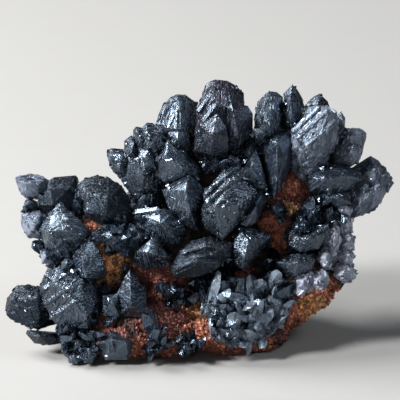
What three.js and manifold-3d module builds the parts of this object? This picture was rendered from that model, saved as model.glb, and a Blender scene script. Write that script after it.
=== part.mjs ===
// A descloizite specimen: dark, wedge-shaped crystals crowded over a lump of limonite, on a flat broken base.
// Millimetres, +Z up. The origin is on the flat underside, +X runs along the specimen's long side and the
// display side faces -Y.
import * as THREE from "three";
import { ConvexGeometry } from "three/addons/geometries/ConvexGeometry.js";
import { mergeVertices } from "three/addons/utils/BufferGeometryUtils.js";
import Module from "manifold-3d";

const wasm = await Module();
wasm.setup();

// Driving dimensions.
const DISPLAY_TILT = 20; // degrees that the display plane leans back from upright
const DISPLAY_ORIGIN = new THREE.Vector3(0, 0, -6.2); // where across, up and out are all 0
const SEAT_GAP = 0.3; // between pieces that touch
const ROOT_WAIST = 0.54; // size of a crystal's buried end, against the crystal
const LATH_WIDTH = 1.5; // of a parallel growth standing proud of a crystal
const GROUND_CLEARANCE = 0.4; // under the lowest crystals

// The display plane: across is to the right, up is up the leaning plane, out is towards whoever looks at it.
const tilt = THREE.MathUtils.degToRad(DISPLAY_TILT);
const UP = new THREE.Vector3(0, Math.sin(tilt), Math.cos(tilt));
const OUT = new THREE.Vector3(0, -Math.cos(tilt), Math.sin(tilt));

function placed([across, up, out]) {
  return new THREE.Vector3(across, 0, 0)
    .addScaledVector(UP, up)
    .addScaledVector(OUT, out)
    .add(DISPLAY_ORIGIN);
}

// Each piece is a group of crystals grown into one another. A crystal is the corners of its free faces as
// [across, up, out] on the display plane, and the root that it springs from in the limonite. A lath is a thin
// parallel growth along a line of points, and a bud is a small crystal as [root, tip, width].
const PIECES = {
  left_tip_crystal: {
    crystals: [
      { root: [-28, 34, 4], corners: [[-37, 37.6, 9.5], [-36, 38.2, 8], [-32.4, 38.4, 7],
        [-30.8, 37.6, 8], [-31.2, 35.2, 10], [-32.8, 33.6, 10], [-35, 33.6, 10], [-36.2, 35, 9.5],
        [-34.6, 36.6, 12.5], [-32, 36.4, 12]] },
      { root: [-30, 31, 6], corners: [[-35.2, 32.6, 10], [-34.4, 33.8, 9.5], [-33.2, 32.8, 10],
        [-33.4, 31.4, 10], [-34.8, 31.4, 10], [-34.2, 32.6, 11.8]] },
    ],
  },
  left_blade: {
    crystals: [
      { root: [-27, 27, 5], corners: [[-35.8, 30.4, 9.5], [-34.6, 31.6, 9], [-32, 31.4, 9],
        [-30.8, 29.6, 10], [-31.2, 26.8, 11], [-32.4, 25.4, 10.5], [-34.6, 25.8, 10], [-35.8, 28, 9.5],
        [-34.4, 29.6, 12.3], [-31.8, 30, 12.3], [-33, 27.4, 13]] },
    ],
  },
  left_foot_crystal: {
    crystals: [
      { root: [-26, 22, 7], corners: [[-32, 23.2, 11], [-30, 23.8, 11], [-28.8, 22.4, 12],
        [-29, 20.6, 12], [-31.6, 20.4, 11.4], [-30.6, 22, 13.6]] },
    ],
  },
  left_slab: {
    crystals: [
      { root: [-24, 31, 3], corners: [[-30.8, 36.8, 8.5], [-29.2, 37.8, 7.5], [-24.8, 38.2, 6.5],
        [-24, 35, 9], [-25, 31, 9.5], [-29.6, 30, 10], [-32.8, 32.2, 9.5], [-30, 35.4, 11.6],
        [-26, 36, 10.6], [-29.4, 32.4, 12.2]] },
    ],
  },
  left_roof_wedge: {
    crystals: [
      { root: [-26, 25, 7], corners: [[-27.8, 32.8, 13.2], [-32.2, 27.4, 12.6], [-29.6, 31, 14],
        [-30, 27, 17], [-25.4, 27.4, 17.6], [-22.4, 27.8, 14.4], [-22.2, 24, 13.2], [-24, 21.8, 13],
        [-28.4, 21.8, 13], [-30.6, 23.4, 13]] },
    ],
  },
  left_disc: {
    crystals: [
      { root: [-17, 30, 4], corners: [[-25.2, 34.4, 10], [-24.4, 36.6, 9.5], [-22.8, 37.6, 9],
        [-20.8, 38.2, 8.6], [-18.4, 37.8, 8.6], [-15.8, 36.2, 9.5], [-14, 33.8, 10.5], [-13.8, 31, 11.5],
        [-15, 28.6, 11.5], [-17.8, 27.2, 11.5], [-21, 27.2, 11], [-23.6, 28.6, 10.5], [-25, 31.2, 10],
        [-22.4, 34.6, 13.2], [-18.4, 33.8, 14.6], [-18.8, 30.2, 14.8], [-22.6, 30.8, 13.6]] },
    ],
  },
  middle_bevelled_wedge: {
    crystals: [
      { root: [-20, 20, 9], corners: [[-21.8, 26, 14.6], [-24, 24.4, 14.4], [-25.4, 22, 14.6],
        [-24.8, 18.2, 14.6], [-22, 16.6, 15], [-19.2, 17.6, 15], [-18.8, 19.4, 15], [-20, 23.2, 14.8],
        [-23.4, 21.4, 18], [-22.6, 17.8, 18.4]] },
      { root: [-23, 19, 10], corners: [[-27.6, 20.8, 15], [-26.4, 22.4, 14.4], [-25, 20.8, 15],
        [-26, 18.8, 15], [-27.6, 19.2, 14.8], [-26.4, 20.6, 16.8]] },
    ],
  },
  left_pointing_crystal: {
    crystals: [
      { root: [-10, 25, 8], corners: [[-19.2, 25.2, 15.2], [-17, 27.4, 13], [-14, 28.4, 12],
        [-10.8, 27.6, 12], [-11, 24, 13.4], [-12.6, 22.8, 14], [-17.4, 23, 14], [-17.8, 25.8, 16.2],
        [-12, 25.8, 17]] },
    ],
  },
  small_roof_crystal: {
    crystals: [
      { root: [-8, 21, 9], corners: [[-9.4, 25.8, 16], [-12.8, 23, 16.6], [-13.4, 21.2, 14.4],
        [-11, 19.4, 14], [-6.4, 19.8, 14.4], [-5.8, 21.8, 16.6], [-10.4, 22.9, 18.8],
        [-8.4, 22.1, 18.8]] },
    ],
  },
  blue_facet_crystal: {
    crystals: [
      { root: [-6, 28, 7], corners: [[-13.2, 30.6, 12.4], [-10, 31.8, 12.4], [-8, 31.4, 15.6],
        [-5.2, 31.2, 14.6], [-2.8, 27.4, 14], [-4, 24.6, 14], [-7.6, 24, 13.4], [-10, 25.8, 13.8],
        [-12.4, 28, 13.4], [-8, 28.6, 17.6]] },
    ],
    laths: [[[-12.8, 30.6, 13.6], [-8.4, 31.2, 16]]],
  },
  crest_fan: {
    crystals: [
      { root: [-7, 32, 6], corners: [[-16.4, 38.2, 12.6], [-15.2, 43.2, 12.4], [-12, 46.2, 12.4],
        [-8.4, 46.8, 12.4], [-6.8, 45, 13], [-8.2, 40.2, 14.4], [-9.4, 35.4, 13.4], [-12.4, 33.4, 12.6],
        [-14.6, 35.6, 12.6], [-13, 41.2, 16], [-10, 43.2, 16.6], [-11, 38.2, 16.8]] },
      { root: [-10, 34, 7], corners: [[-18.6, 42.6, 12], [-17.8, 43.6, 11.4], [-15.2, 43.4, 11.4],
        [-14.6, 40.2, 13], [-15.8, 37.8, 13], [-17.4, 38.8, 12.2], [-18.4, 41.2, 12.2],
        [-17.6, 42.2, 14.2], [-15.6, 42.2, 15.2], [-16, 39.2, 15.2]] },
      { root: [-9, 36, 7], corners: [[-15.2, 43.4, 12.6], [-15.2, 45, 12.2], [-13.7, 46.2, 12],
        [-12.4, 44.8, 13], [-12.6, 41.6, 15.4], [-14.4, 42, 15.4], [-13.2, 44.6, 15.8],
        [-13.6, 42.8, 17]] },
      { root: [-8, 37, 7], corners: [[-13.4, 47.2, 12.4], [-12.8, 47.9, 12], [-11.6, 47.7, 12.4],
        [-10.8, 44.8, 15], [-12.4, 44, 15.4], [-13.4, 46, 13.6], [-12.4, 46.6, 15.2],
        [-11.8, 45.2, 16.6]] },
      { root: [-6, 37, 7], corners: [[-11.6, 47.6, 12.6], [-10.6, 48.7, 12], [-9.4, 48.6, 11.6],
        [-8, 47.6, 11.6], [-6.9, 46.4, 12], [-8, 43, 15.6], [-10.8, 43, 16.4], [-11.6, 45.6, 15],
        [-10.6, 46.4, 16.2], [-8.6, 45.6, 16.2], [-9.8, 44, 17.6]] },
      { root: [-8, 38, 11], corners: [[-11.4, 41.8, 17], [-9.4, 41.4, 16.8], [-8.8, 39.6, 16.8],
        [-10.8, 39.6, 17.4], [-10.4, 41.2, 18.8]] },
    ],
  },
  crest_chisel: {
    crystals: [
      { root: [-3, 40, 5], corners: [[-4.6, 54.4, 9], [-2.8, 54.2, 8.6], [-5.8, 53.8, 9], [-7.4, 52.4, 9],
        [-8.2, 50.4, 9.6], [-9, 48.2, 10], [-8, 47, 11], [-0.6, 52.6, 8], [-0.4, 49.6, 8.6],
        [-2, 46.8, 10], [-4.4, 53, 12.4], [-3.8, 53, 12.2], [-4.8, 47.4, 14.6], [-3.8, 47.4, 14.4]] },
      { root: [-3, 40, 8], corners: [[-4.4, 47.9, 13.4], [-6.4, 46.6, 12.6], [-2.4, 46.8, 12.6],
        [-1.8, 43.8, 12.6], [-4, 42.4, 13], [-6.8, 43.4, 13], [-4.4, 45.2, 16]] },
    ],
  },
  crest_slate_crystal: {
    crystals: [
      { root: [-3, 34, 8], corners: [[-6.4, 45.2, 14.6], [-2.8, 42.8, 14], [-0.6, 40.4, 13.6],
        [0.4, 38.6, 13], [-2.4, 37.4, 15], [-7, 37, 15.4], [-10.2, 38.6, 14.6], [-9.6, 42, 14.6],
        [-6.6, 42, 18.2], [-3.4, 39.4, 18]] },
    ],
  },
  kite_blade: {
    crystals: [
      { root: [-2, 31, 8], corners: [[-2.4, 38.6, 16], [-0.8, 37.4, 14.6], [0.2, 36.4, 14], [1, 35, 14],
        [-0.4, 27, 14], [-4, 28.4, 14.4], [-6.4, 31.8, 14.2], [-7.6, 35.2, 14.2], [-2.8, 35.2, 18.4],
        [-2, 31, 18]] },
    ],
  },
  crown: {
    crystals: [
      { root: [4, 38, 4], corners: [[1, 56.2, 9], [2, 56.9, 9], [3, 57.3, 9], [5.4, 57.1, 9],
        [7, 56.2, 9], [8.8, 54.6, 9], [0.4, 54.2, 10], [-0.4, 51.6, 11], [-0.8, 47, 12], [-1.8, 43.2, 12],
        [8, 43.6, 11], [9, 50, 11], [2.6, 54.8, 12.8], [5.6, 54.8, 12.6], [1.8, 50, 15],
        [6, 52.4, 13.8]] },
      { root: [3, 40, 9], corners: [[3.4, 50.4, 16.4], [0, 48.2, 14.6], [-1.4, 43, 14], [2, 42.4, 16],
        [5.6, 43, 15], [5.7, 45.6, 16.6], [5.2, 47.8, 16.6], [2.4, 46.2, 18.8]] },
      { root: [6, 40, 6], corners: [[6.2, 52.6, 14.4], [5.4, 51.8, 14.4], [7.6, 51.8, 13.6],
        [9.6, 52, 12], [10.6, 50.4, 11], [10.6, 47.2, 11], [7.8, 43.6, 13], [5.8, 45, 14.6],
        [6.6, 50.8, 16.6], [7.6, 46.2, 16.2]] },
    ],
    laths: [[[-0.2, 50.8, 12.6], [2.4, 54.2, 12.6]], [[0.8, 48.8, 14.8], [3.2, 52, 14.8]]],
  },
  crest_bevelled_peak: {
    crystals: [
      { root: [14, 40, 4], corners: [[11, 51.4, 9], [11.4, 52.8, 9], [12.8, 54.2, 9], [13.8, 55, 9],
        [15.4, 54.8, 8.4], [16.6, 53.8, 8.4], [16.8, 50.2, 9.4], [16, 46.8, 11], [12.4, 45.6, 13],
        [10.6, 46.4, 12], [13.2, 53.8, 12.2], [14.4, 53.8, 12.2], [12.6, 51.4, 14.2], [14, 48, 15.2]] },
      { root: [13.4, 43, 8], corners: [[10.4, 47.4, 14], [12.4, 47.6, 15], [13.4, 46.4, 15],
        [11.2, 45.4, 15.6], [11.6, 46.6, 16.6]] },
    ],
  },
  crest_pointed_peak: {
    crystals: [
      { root: [17, 40, 2], corners: [[18.4, 56.4, 8], [16.8, 54.6, 8], [16.6, 53.2, 9], [19.4, 55.4, 7.6],
        [20.4, 53.8, 7.6], [20.8, 51.6, 9], [19.6, 47.8, 10], [17, 47.8, 10.4], [18, 53.6, 12],
        [18.3, 50.6, 13.2]] },
    ],
  },
  crest_back_crystal: {
    crystals: [
      { root: [22, 38, 1], corners: [[20.8, 52, 5], [22.4, 53.8, 4], [24, 54.6, 4], [25.6, 53, 5],
        [26.4, 50.6, 6], [25, 47, 7], [21.4, 48, 7], [23.6, 52.4, 8]] },
    ],
  },
  crest_stepped_crystal: {
    crystals: [
      { root: [20, 36, 5], corners: [[17.6, 46.8, 10], [19.2, 49.2, 10], [20.8, 50.6, 10],
        [21.6, 51.6, 10.4], [23, 52.1, 11], [24.6, 52.1, 11], [27.4, 50.8, 12], [27.6, 45.2, 12.4],
        [25, 41.6, 13.4], [21, 41, 14], [18.4, 43.4, 13.4], [19.6, 45.2, 16], [25.6, 50.6, 15.6],
        [23, 43.6, 17]] },
    ],
    laths: [
      [[18.6, 46.8, 13.4], [23.6, 51.4, 13.8]],
      [[19.6, 45.6, 15.8], [25.2, 50.8, 15.4]],
      [[21.4, 44, 16.8], [26.8, 48.8, 15.2]],
    ],
  },
  right_pale_tip: {
    crystals: [
      { root: [25, 43, 5], corners: [[27.2, 50, 8.4], [28.2, 51, 8], [29.1, 49.6, 8], [29, 47.6, 9],
        [27.6, 46.6, 10], [28.4, 49, 11.6]] },
    ],
  },
  heart_hanging_spear: {
    crystals: [
      { root: [15, 37, 6], corners: [[12.8, 45.4, 13], [14.4, 46.8, 11.8], [17.4, 46.8, 11.8],
        [18.8, 44.8, 12], [18, 39.8, 12.4], [17, 37, 13], [14.8, 33.4, 14], [12.8, 40, 12.6],
        [15.4, 44.4, 16.2], [17, 41, 15.4], [15.2, 36.6, 15.8]] },
    ],
  },
  heart_triangle_blade: {
    crystals: [
      { root: [10, 34, 7], corners: [[11.2, 43.6, 13.4], [8.6, 39.2, 13.8], [8.8, 35.4, 13.6],
        [13.8, 35.2, 13.4], [12.4, 39.8, 14], [10.2, 39.4, 16.8], [10, 41.6, 14.6]] },
    ],
  },
  right_shoulder: {
    crystals: [
      { root: [27, 40, 2], corners: [[28.2, 46.8, 7], [29.4, 47.5, 6.4], [30.8, 47.7, 6], [32.2, 47.6, 6],
        [33.4, 46.6, 6], [32.9, 45, 6.4], [32.6, 42.6, 7], [30, 40.8, 8.4], [28, 43, 9], [30, 46, 10.6],
        [32, 46.4, 9.4]] },
      { root: [27, 39, 5], corners: [[28.8, 43.2, 10.4], [30.6, 44.6, 10.4], [32.5, 43.6, 9.4],
        [32.1, 41.4, 9.4], [30.2, 40, 10], [28.8, 41, 10.8], [30.4, 42.8, 13]] },
    ],
  },
  right_fluted_wing: {
    crystals: [
      { root: [28, 36, 3], corners: [[33.6, 41.8, 6], [34.2, 42.1, 6], [35.8, 41.1, 6], [36.6, 40, 6],
        [37.1, 38.6, 6.4], [38.9, 36.6, 6], [37.8, 35, 6.6], [35.4, 35.4, 8.6], [33.2, 37, 8.6],
        [33, 40.2, 7.4], [34.8, 39.2, 10.4]] },
      { root: [28, 34, 4], corners: [[37.8, 35.6, 6.6], [37.2, 34.5, 6.6], [36.4, 33, 6.6], [35, 31.4, 7],
        [34.4, 30.9, 7], [32.2, 30.8, 8], [30.8, 29.5, 8], [30.6, 32.2, 9], [31.6, 34.6, 9.4],
        [34.4, 36, 9.6], [33.6, 34, 11.6]] },
    ],
    laths: [
      [[33, 35.8, 10.6], [31.9, 31.4, 9.6]],
      [[35.2, 35.6, 10], [34.1, 31.8, 8.8]],
    ],
  },
  right_lens: {
    crystals: [
      { root: [24, 36, 6], corners: [[20.8, 38, 11.4], [23, 40, 11], [27, 40.4, 11], [30, 39.8, 10.4],
        [32.2, 38.8, 10], [32.4, 37.2, 10], [30.8, 35.6, 10.6], [26, 34, 12], [22, 34.8, 12],
        [25, 37.4, 15.2], [29, 38, 14]] },
      { root: [24, 34, 6], corners: [[24.6, 34, 11.6], [27.6, 35.4, 11], [30, 34.8, 10.4],
        [30.3, 32.4, 10.4], [27, 31.8, 12], [27.6, 33.8, 13.8]] },
    ],
  },
  stacked_crystal: {
    crystals: [
      { root: [5, 31, 8], corners: [[7.2, 40.4, 13], [4.4, 39, 14], [1.2, 35.2, 15], [0.2, 31, 16.4],
        [0.8, 28, 16], [4.4, 25.2, 16.4], [7.2, 28.2, 17], [11.4, 34.6, 15.4], [10.4, 37.2, 14],
        [9, 39.6, 13], [3, 31.8, 20], [7.6, 32.2, 19.6], [6, 36.2, 17.6]] },
    ],
    laths: [
      [[1.2, 34.2, 17], [6.6, 39.2, 15.4]],
      [[1.6, 32.8, 19], [8.6, 38.6, 16.4]],
      [[2.6, 31.8, 20.6], [7.4, 34.2, 19.8], [10.8, 35.8, 17.2]],
    ],
  },
  curved_ridge_crystal: {
    crystals: [
      { root: [0, 21, 9], corners: [[-5.8, 19.8, 16.2], [-5.2, 18, 16.4], [-4, 23.2, 15.4],
        [-1.6, 25.2, 15.4], [2, 26, 15.4], [6.4, 24.8, 15.4], [6.2, 22, 16], [3, 19.2, 16.4],
        [-1, 17.8, 16.4], [-1.2, 21.6, 19.8], [3, 22.8, 19.4]] },
    ],
    laths: [
      [[-4.6, 19.4, 17.6], [-1, 21, 19.8], [3.4, 20.6, 18.6]],
      [[-3.2, 22.6, 17.6], [1, 24, 19.2], [5, 23.4, 18]],
    ],
  },
  heart_dark_blade: {
    crystals: [
      { root: [9, 23, 9], corners: [[7.2, 28, 15], [10.4, 27.8, 14.4], [12.8, 27, 14], [14.2, 26.2, 13.6],
        [11, 21.6, 15], [8.8, 19, 15.4], [6.8, 20.6, 15.8], [6.6, 24.2, 16], [9.6, 25.2, 18.2],
        [8.8, 21.6, 18.2]] },
    ],
  },
  lower_right_blade: {
    crystals: [
      { root: [20, 27, 7], corners: [[17.6, 24.2, 13], [18.8, 26, 14], [25.6, 28.6, 12.4],
        [26, 26.6, 12.6], [23.6, 23.4, 13.6], [20, 22.8, 14], [21.6, 25.6, 16.6]] },
    ],
  },
  shell_fan: {
    crystals: [
      { root: [18, 18, 8], corners: [[15, 20.8, 14.4], [18.2, 22.4, 14], [19.8, 22.6, 14],
        [21.4, 22.2, 13.6], [23, 21.4, 13], [22.4, 19.4, 13.6], [18.8, 18.2, 15.6], [19.4, 20.6, 17]] },
    ],
  },
  striped_crystal: {
    crystals: [
      { root: [-22, 13, 9], corners: [[-28, 20.2, 14], [-25, 20, 14.4], [-22, 18.8, 15.4],
        [-31, 18.6, 13.4], [-31.9, 16.2, 13.4], [-31.5, 13.2, 14], [-29.6, 9.6, 15], [-27.6, 7.2, 15.4],
        [-21.6, 7.6, 16.4], [-20.4, 13.2, 16.4], [-29, 16.8, 18.4], [-25.6, 13.6, 20.6], [-22.4, 9.6, 20],
        [-24, 16.4, 19]] },
    ],
    laths: [
      [[-31, 15.4, 15.6], [-27, 18.2, 17.8]],
      [[-30.6, 12.6, 16.2], [-26.2, 15.6, 20]],
      [[-29.4, 9.8, 17], [-25, 13, 20.6]],
    ],
  },
  serrated_crystal: {
    crystals: [
      { root: [-26, 12, 5], corners: [[-38.9, 11.8, 11], [-38.6, 13.6, 11], [-37.4, 15, 10.4],
        [-36.4, 16.3, 10], [-34.8, 16.3, 10], [-32.4, 16, 11], [-37.6, 13.4, 13.6], [-32.4, 13.8, 15],
        [-38.6, 10.2, 11.4], [-37.8, 9.4, 11.4], [-34.6, 8, 12], [-32.6, 7.4, 12.4], [-32, 10, 14]] },
    ],
  },
  low_left_crystal: {
    crystals: [
      { root: [-26, 6, 7], corners: [[-34.8, 6.6, 12.4], [-34.4, 7.4, 12.4], [-32.8, 7.2, 13.4],
        [-30, 6.8, 14], [-28.6, 5.6, 14], [-30, 4.2, 13.4], [-33, 4.6, 12.4], [-32.2, 6, 15.4]] },
    ],
  },
  bright_wedge: {
    crystals: [
      { root: [-13, 12, 11], corners: [[-14, 19.4, 16.8], [-16.4, 15, 17], [-16, 10.4, 17.4],
        [-10.8, 9.6, 17], [-10.6, 14.6, 16.4], [-12.2, 17.4, 16.4], [-13.8, 16.2, 19.6],
        [-13.8, 12.4, 21]] },
      { root: [-16, 11, 11], corners: [[-19.4, 14.2, 17], [-15.8, 14.8, 17], [-16, 10, 17.6],
        [-19.2, 10.2, 17.4], [-17.4, 13.2, 19.8]] },
    ],
  },
  toe_blades: {
    crystals: [
      { root: [-16, 6, 10], corners: [[-20.6, 4.6, 17], [-19.2, 6.8, 16.6], [-17.2, 8.2, 16.2],
        [-13.4, 7.6, 16.4], [-12.2, 5, 17], [-14.4, 1.4, 18], [-18.8, 1.4, 18], [-17.6, 5.6, 19.8],
        [-14.6, 5, 20.4]] },
      { root: [-12, 6, 10], corners: [[-13, 6.4, 16.6], [-10.2, 9, 15.4], [-8.6, 5.6, 16.2],
        [-9.4, 2, 17.4], [-12.4, 1.6, 18], [-11.4, 5.6, 19.2]] },
      { root: [-18, 5, 12], corners: [[-18.6, 4.6, 18], [-17.4, 6.2, 18], [-16.2, 4.8, 18.4],
        [-16.6, 2.6, 18.8], [-18.2, 2.8, 18.6], [-17.4, 4.6, 21]] },
    ],
  },
  left_recess_crystal: {
    crystals: [
      { root: [-20, 26, 6], corners: [[-22.6, 28.2, 11.6], [-19.2, 27.8, 12], [-17.8, 25.4, 13],
        [-20.4, 24, 13.4], [-22.8, 24.6, 12.6], [-21, 26.4, 15]] },
    ],
  },
  fan_foot_crystal: {
    crystals: [
      { root: [-10, 32, 6], corners: [[-14.4, 35.2, 10.6], [-10.8, 36.6, 11], [-8, 35.6, 11.6],
        [-8.2, 32.2, 12], [-11.6, 30.6, 12], [-14, 32, 11.4], [-11, 34, 14]] },
    ],
  },
  crown_foot_crystal: {
    crystals: [
      { root: [4, 38, 6], corners: [[-0.8, 43.2, 11], [3, 42.4, 11.6], [7.6, 43.2, 11], [8.6, 40, 11.6],
        [6.4, 38.4, 12.4], [1, 38.4, 12.4], [-1, 40.6, 11.8], [3.8, 40.6, 14.4]] },
    ],
  },
  crest_gap_crystal: {
    crystals: [
      { root: [10, 40, 5], corners: [[8.6, 46.4, 9.6], [11, 47.2, 9.6], [12.6, 45, 10], [11.6, 41.4, 11],
        [9.2, 40, 11.4], [8, 42.8, 11], [10, 44, 12.6]] },
    ],
  },
  heart_band_crystal: {
    crystals: [
      { root: [10, 31, 8], corners: [[10.6, 35.4, 13], [12.8, 35.8, 13], [13.4, 33.2, 13.4],
        [11.4, 28.8, 14.4], [8.8, 26.8, 15], [8, 28.4, 15], [11.2, 32, 16.6]] },
    ],
  },
  right_recess_crystal: {
    crystals: [
      { root: [22, 29, 5], corners: [[20, 30.8, 10.4], [23.6, 32.2, 10], [25.4, 30.6, 10], [24, 27.8, 11],
        [20.6, 27.4, 11.6], [22.6, 30, 13.2]] },
    ],
  },
  lower_druse: {
    crystals: [
      { root: [8, 11, 6], corners: [[1, 12.6, 13.6], [3.4, 15.2, 13], [9, 16.4, 12], [15, 17.4, 10],
        [18, 15, 9.6], [17.6, 9.6, 11], [14, 6, 13.2], [7, 5.2, 14.8], [2.6, 6.4, 15]] },
      { root: [6, 16, 9], corners: [[4.4, 16.4, 14.6], [5.4, 18, 14], [7.6, 18.2, 13.8],
        [7.2, 16.2, 14.4], [6, 17.4, 16]] },
      { root: [4, 13, 10], corners: [[1.8, 13, 15.4], [2.4, 14.8, 14.8], [4.4, 14.2, 14.6],
        [4.2, 12.6, 15.4], [2.8, 13.6, 17]] },
      { root: [3, 11, 11], corners: [[0.2, 10, 16], [1.2, 12.6, 15.4], [2.8, 12.6, 15.2], [2.8, 10, 16],
        [1.4, 11, 18]] },
      { root: [5, 11, 11], corners: [[3.2, 10.4, 16], [4.8, 12.8, 15.4], [6.2, 10.6, 15.8],
        [5, 9.6, 16.4], [4.8, 11.4, 18.2]] },
      { root: [7.4, 12, 10], corners: [[6.6, 11.2, 15.6], [7.2, 13.8, 15], [8.4, 13.2, 15],
        [8.4, 10.4, 15.6], [7.2, 12.2, 17.8]] },
      { root: [10, 15, 8], corners: [[8, 14, 14], [9.2, 16.2, 13.4], [12, 16, 13], [12.4, 13.2, 13.4],
        [10, 12, 14.6], [10, 14.4, 16]] },
      { root: [11, 10, 10], corners: [[9.4, 9.4, 15], [10.4, 11.8, 14.4], [12.8, 9.6, 14.4],
        [11.2, 8.6, 15.2], [10.4, 10.2, 17.4]] },
      { root: [6, 7, 10], corners: [[1.8, 6, 15.8], [2.4, 9.6, 15.6], [5.6, 10, 15.4], [9.2, 8.8, 15],
        [9.4, 5.2, 15.2], [5.2, 4.6, 16], [4, 7.6, 18], [7.2, 7.2, 17.8]] },
      { root: [11, 7, 9], corners: [[9.6, 5.4, 14.6], [9.8, 8.4, 14.6], [13.6, 9.2, 13.4],
        [14.4, 7.2, 13.2], [12.4, 5.2, 14], [11.6, 7.2, 16.6]] },
      { root: [14, 12, 7], corners: [[12.2, 12.2, 13], [13.2, 15.6, 12], [16.8, 15.4, 11], [17, 11.2, 12],
        [15.2, 8.8, 13], [12.8, 10.4, 13.6], [14, 13.2, 15.8], [15.8, 12, 15.4]] },
      { root: [17, 13, 7], corners: [[17, 10.8, 12], [17.2, 14.8, 11], [19.4, 15.2, 10.4],
        [19.2, 12.2, 11], [18.2, 9.4, 12], [17.8, 12.6, 13.8]] },
      { root: [15, 17, 7], corners: [[12.4, 16.4, 13], [14, 18, 12], [17.6, 18, 11], [19.2, 16.4, 11],
        [16.4, 15.2, 12.4], [15.2, 17, 14.4]] },
    ],
  },
  lilac_druse: {
    crystals: [
      { root: [21, 17, 6], corners: [[19, 16.8, 13], [22, 18.8, 12.6], [25.4, 18.2, 11.8],
        [24.6, 15.4, 12.2], [20.6, 14.6, 13.2]] },
      { root: [20, 17, 9], corners: [[19, 14.4, 13.6], [19.2, 18, 13.4], [21.6, 19.4, 12.8],
        [22.4, 16.8, 13], [20.6, 14, 13.8], [20.6, 17, 15.4]] },
      { root: [23, 17, 8], corners: [[22.2, 18, 13], [24.4, 19.8, 12.2], [25.8, 18, 12], [25, 15, 12.6],
        [22.8, 14.8, 13.2], [23.8, 17.2, 14.8]] },
    ],
  },
  right_edge_druse: {
    crystals: [
      { root: [26, 24, 2], corners: [[26, 31, 7.6], [29.4, 30.4, 6.6], [30, 23, 6.6], [29.4, 17.8, 7],
        [26.4, 17.8, 8], [24.2, 21, 9.4], [25, 26, 8.8]] },
      { root: [25, 25, 5], corners: [[25.8, 26.8, 11], [26.8, 29, 10.4], [28, 27.6, 9.6], [28, 24.2, 9.8],
        [26.6, 21.4, 11], [25.6, 23.6, 11.6], [26.8, 25.6, 13.2]] },
      { root: [23, 21, 6], corners: [[23.6, 22, 12], [25.2, 23.8, 11.4], [26.4, 22, 11],
        [26.2, 19.4, 11.6], [24.4, 19.8, 12.2], [25.2, 21.6, 13.8]] },
      { root: [26, 28, 3], corners: [[28.2, 29.2, 9], [29.4, 30.9, 8.4], [30.5, 29.6, 7.8], [30.6, 27, 8],
        [28.8, 26.4, 9.4], [29.4, 28.8, 11.2]] },
      { root: [26, 25, 3], corners: [[28.4, 26.2, 9], [29.6, 27.2, 8.4], [30.7, 26, 8], [30.6, 23.2, 8],
        [28.8, 22.8, 9.4], [29.4, 25, 11.2]] },
      { root: [26, 22, 3], corners: [[28.2, 23, 9.4], [29.8, 23.6, 8.6], [30.9, 22.4, 8],
        [30.6, 20.2, 8.2], [28.6, 20, 9.6], [29.4, 21.8, 11.2]] },
      { root: [25, 19, 4], corners: [[27.4, 20, 10], [29.4, 20.8, 9], [31.1, 19.4, 8.2], [31, 17.4, 8.6],
        [29, 16.6, 9.4], [27, 18, 10.4], [28.8, 18.8, 11.8]] },
      { root: [26, 31, 4], corners: [[27, 31.6, 10.4], [29, 32.2, 9.6], [30.4, 31.6, 8.8], [30, 29.8, 9],
        [27.4, 29.6, 10.4], [28.6, 31, 12]] },
    ],
  },
  toe_druse: {
    crystals: [
      { root: [-20, 5, 9], corners: [[-28.4, 7, 14], [-25.4, 8.2, 14.6], [-21, 6.4, 15.8],
        [-20.4, 3.4, 16.8], [-22, 1, 17], [-26.4, 1.4, 15.8]] },
      { root: [-20, 6, 11], corners: [[-23, 6.8, 16], [-21.4, 8, 15.6], [-20, 6.6, 16.2],
        [-20.8, 4.6, 17], [-22.4, 4.8, 16.8], [-21.6, 6.6, 18.6]] },
      { root: [-24, 6, 10], corners: [[-28, 6.4, 15.4], [-26.8, 7.4, 15.2], [-25.6, 6, 16],
        [-26, 4, 16.6], [-27.6, 4.4, 15.8], [-26.8, 5.8, 17.8]] },
      { root: [-22, 5, 11], corners: [[-25.6, 5.4, 16.4], [-24.2, 6.6, 16], [-22.6, 5, 16.8],
        [-23.4, 3.2, 17.4], [-25, 3.4, 17], [-24.2, 5, 18.8]] },
      { root: [-22, 3, 11], corners: [[-26.8, 2.6, 16], [-25, 3.6, 16.4], [-23.4, 2.2, 17.4],
        [-24.4, 0.4, 17.8], [-26, 0.6, 17.4], [-25, 2.2, 18.6]] },
      { root: [-19, 4, 11], corners: [[-23.6, 3, 17.4], [-21.8, 4, 17.2], [-20.4, 2.6, 17.8],
        [-21.4, 0.8, 18], [-23, 0.8, 17.8], [-22, 2.6, 19.4]] },
    ],
  },
  toe_ledge: {
    crystals: [
      { root: [-8, 5, 12], corners: [[-10.4, 7.4, 17.4], [-7.4, 7.8, 17], [-7.2, 4.4, 18.2],
        [-10.6, 3.2, 18.8], [-8.8, 6, 20]] },
    ],
  },
  toe_slate_ledge: {
    crystals: [
      { root: [-2, 5, 9], corners: [[-4.4, 5.4, 16], [-0.6, 5.6, 15.6], [-0.2, 3.4, 16], [-4.6, 3, 16.4],
        [-2.4, 4.6, 17.4]] },
    ],
  },
  back_crown_crystal: {
    buds: [
      [[3, 38, 0], [4, 51, -4], 8],
      [[3.5, 42, -1], [9, 49.6, -3], 6],
    ],
  },
  back_crest_crystal: {
    buds: [
      [[-7, 34, 0], [-9, 45, -3], 7],
      [[-8, 38, -1], [-13, 43, -1], 5.4],
    ],
  },
  back_right_crystal: {
    buds: [
      [[18, 36, -2], [20, 47, -7], 8],
      [[19, 40, -4], [25, 45, -5], 5],
    ],
  },
  back_middle_crystal: {
    buds: [
      [[2, 32, -4], [0, 40, -14], 9],
      [[1, 35, -8], [6, 38, -15], 6],
    ],
  },
  back_left_crystal: {
    buds: [
      [[-16, 26, -2], [-20, 35, -8], 8],
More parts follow.
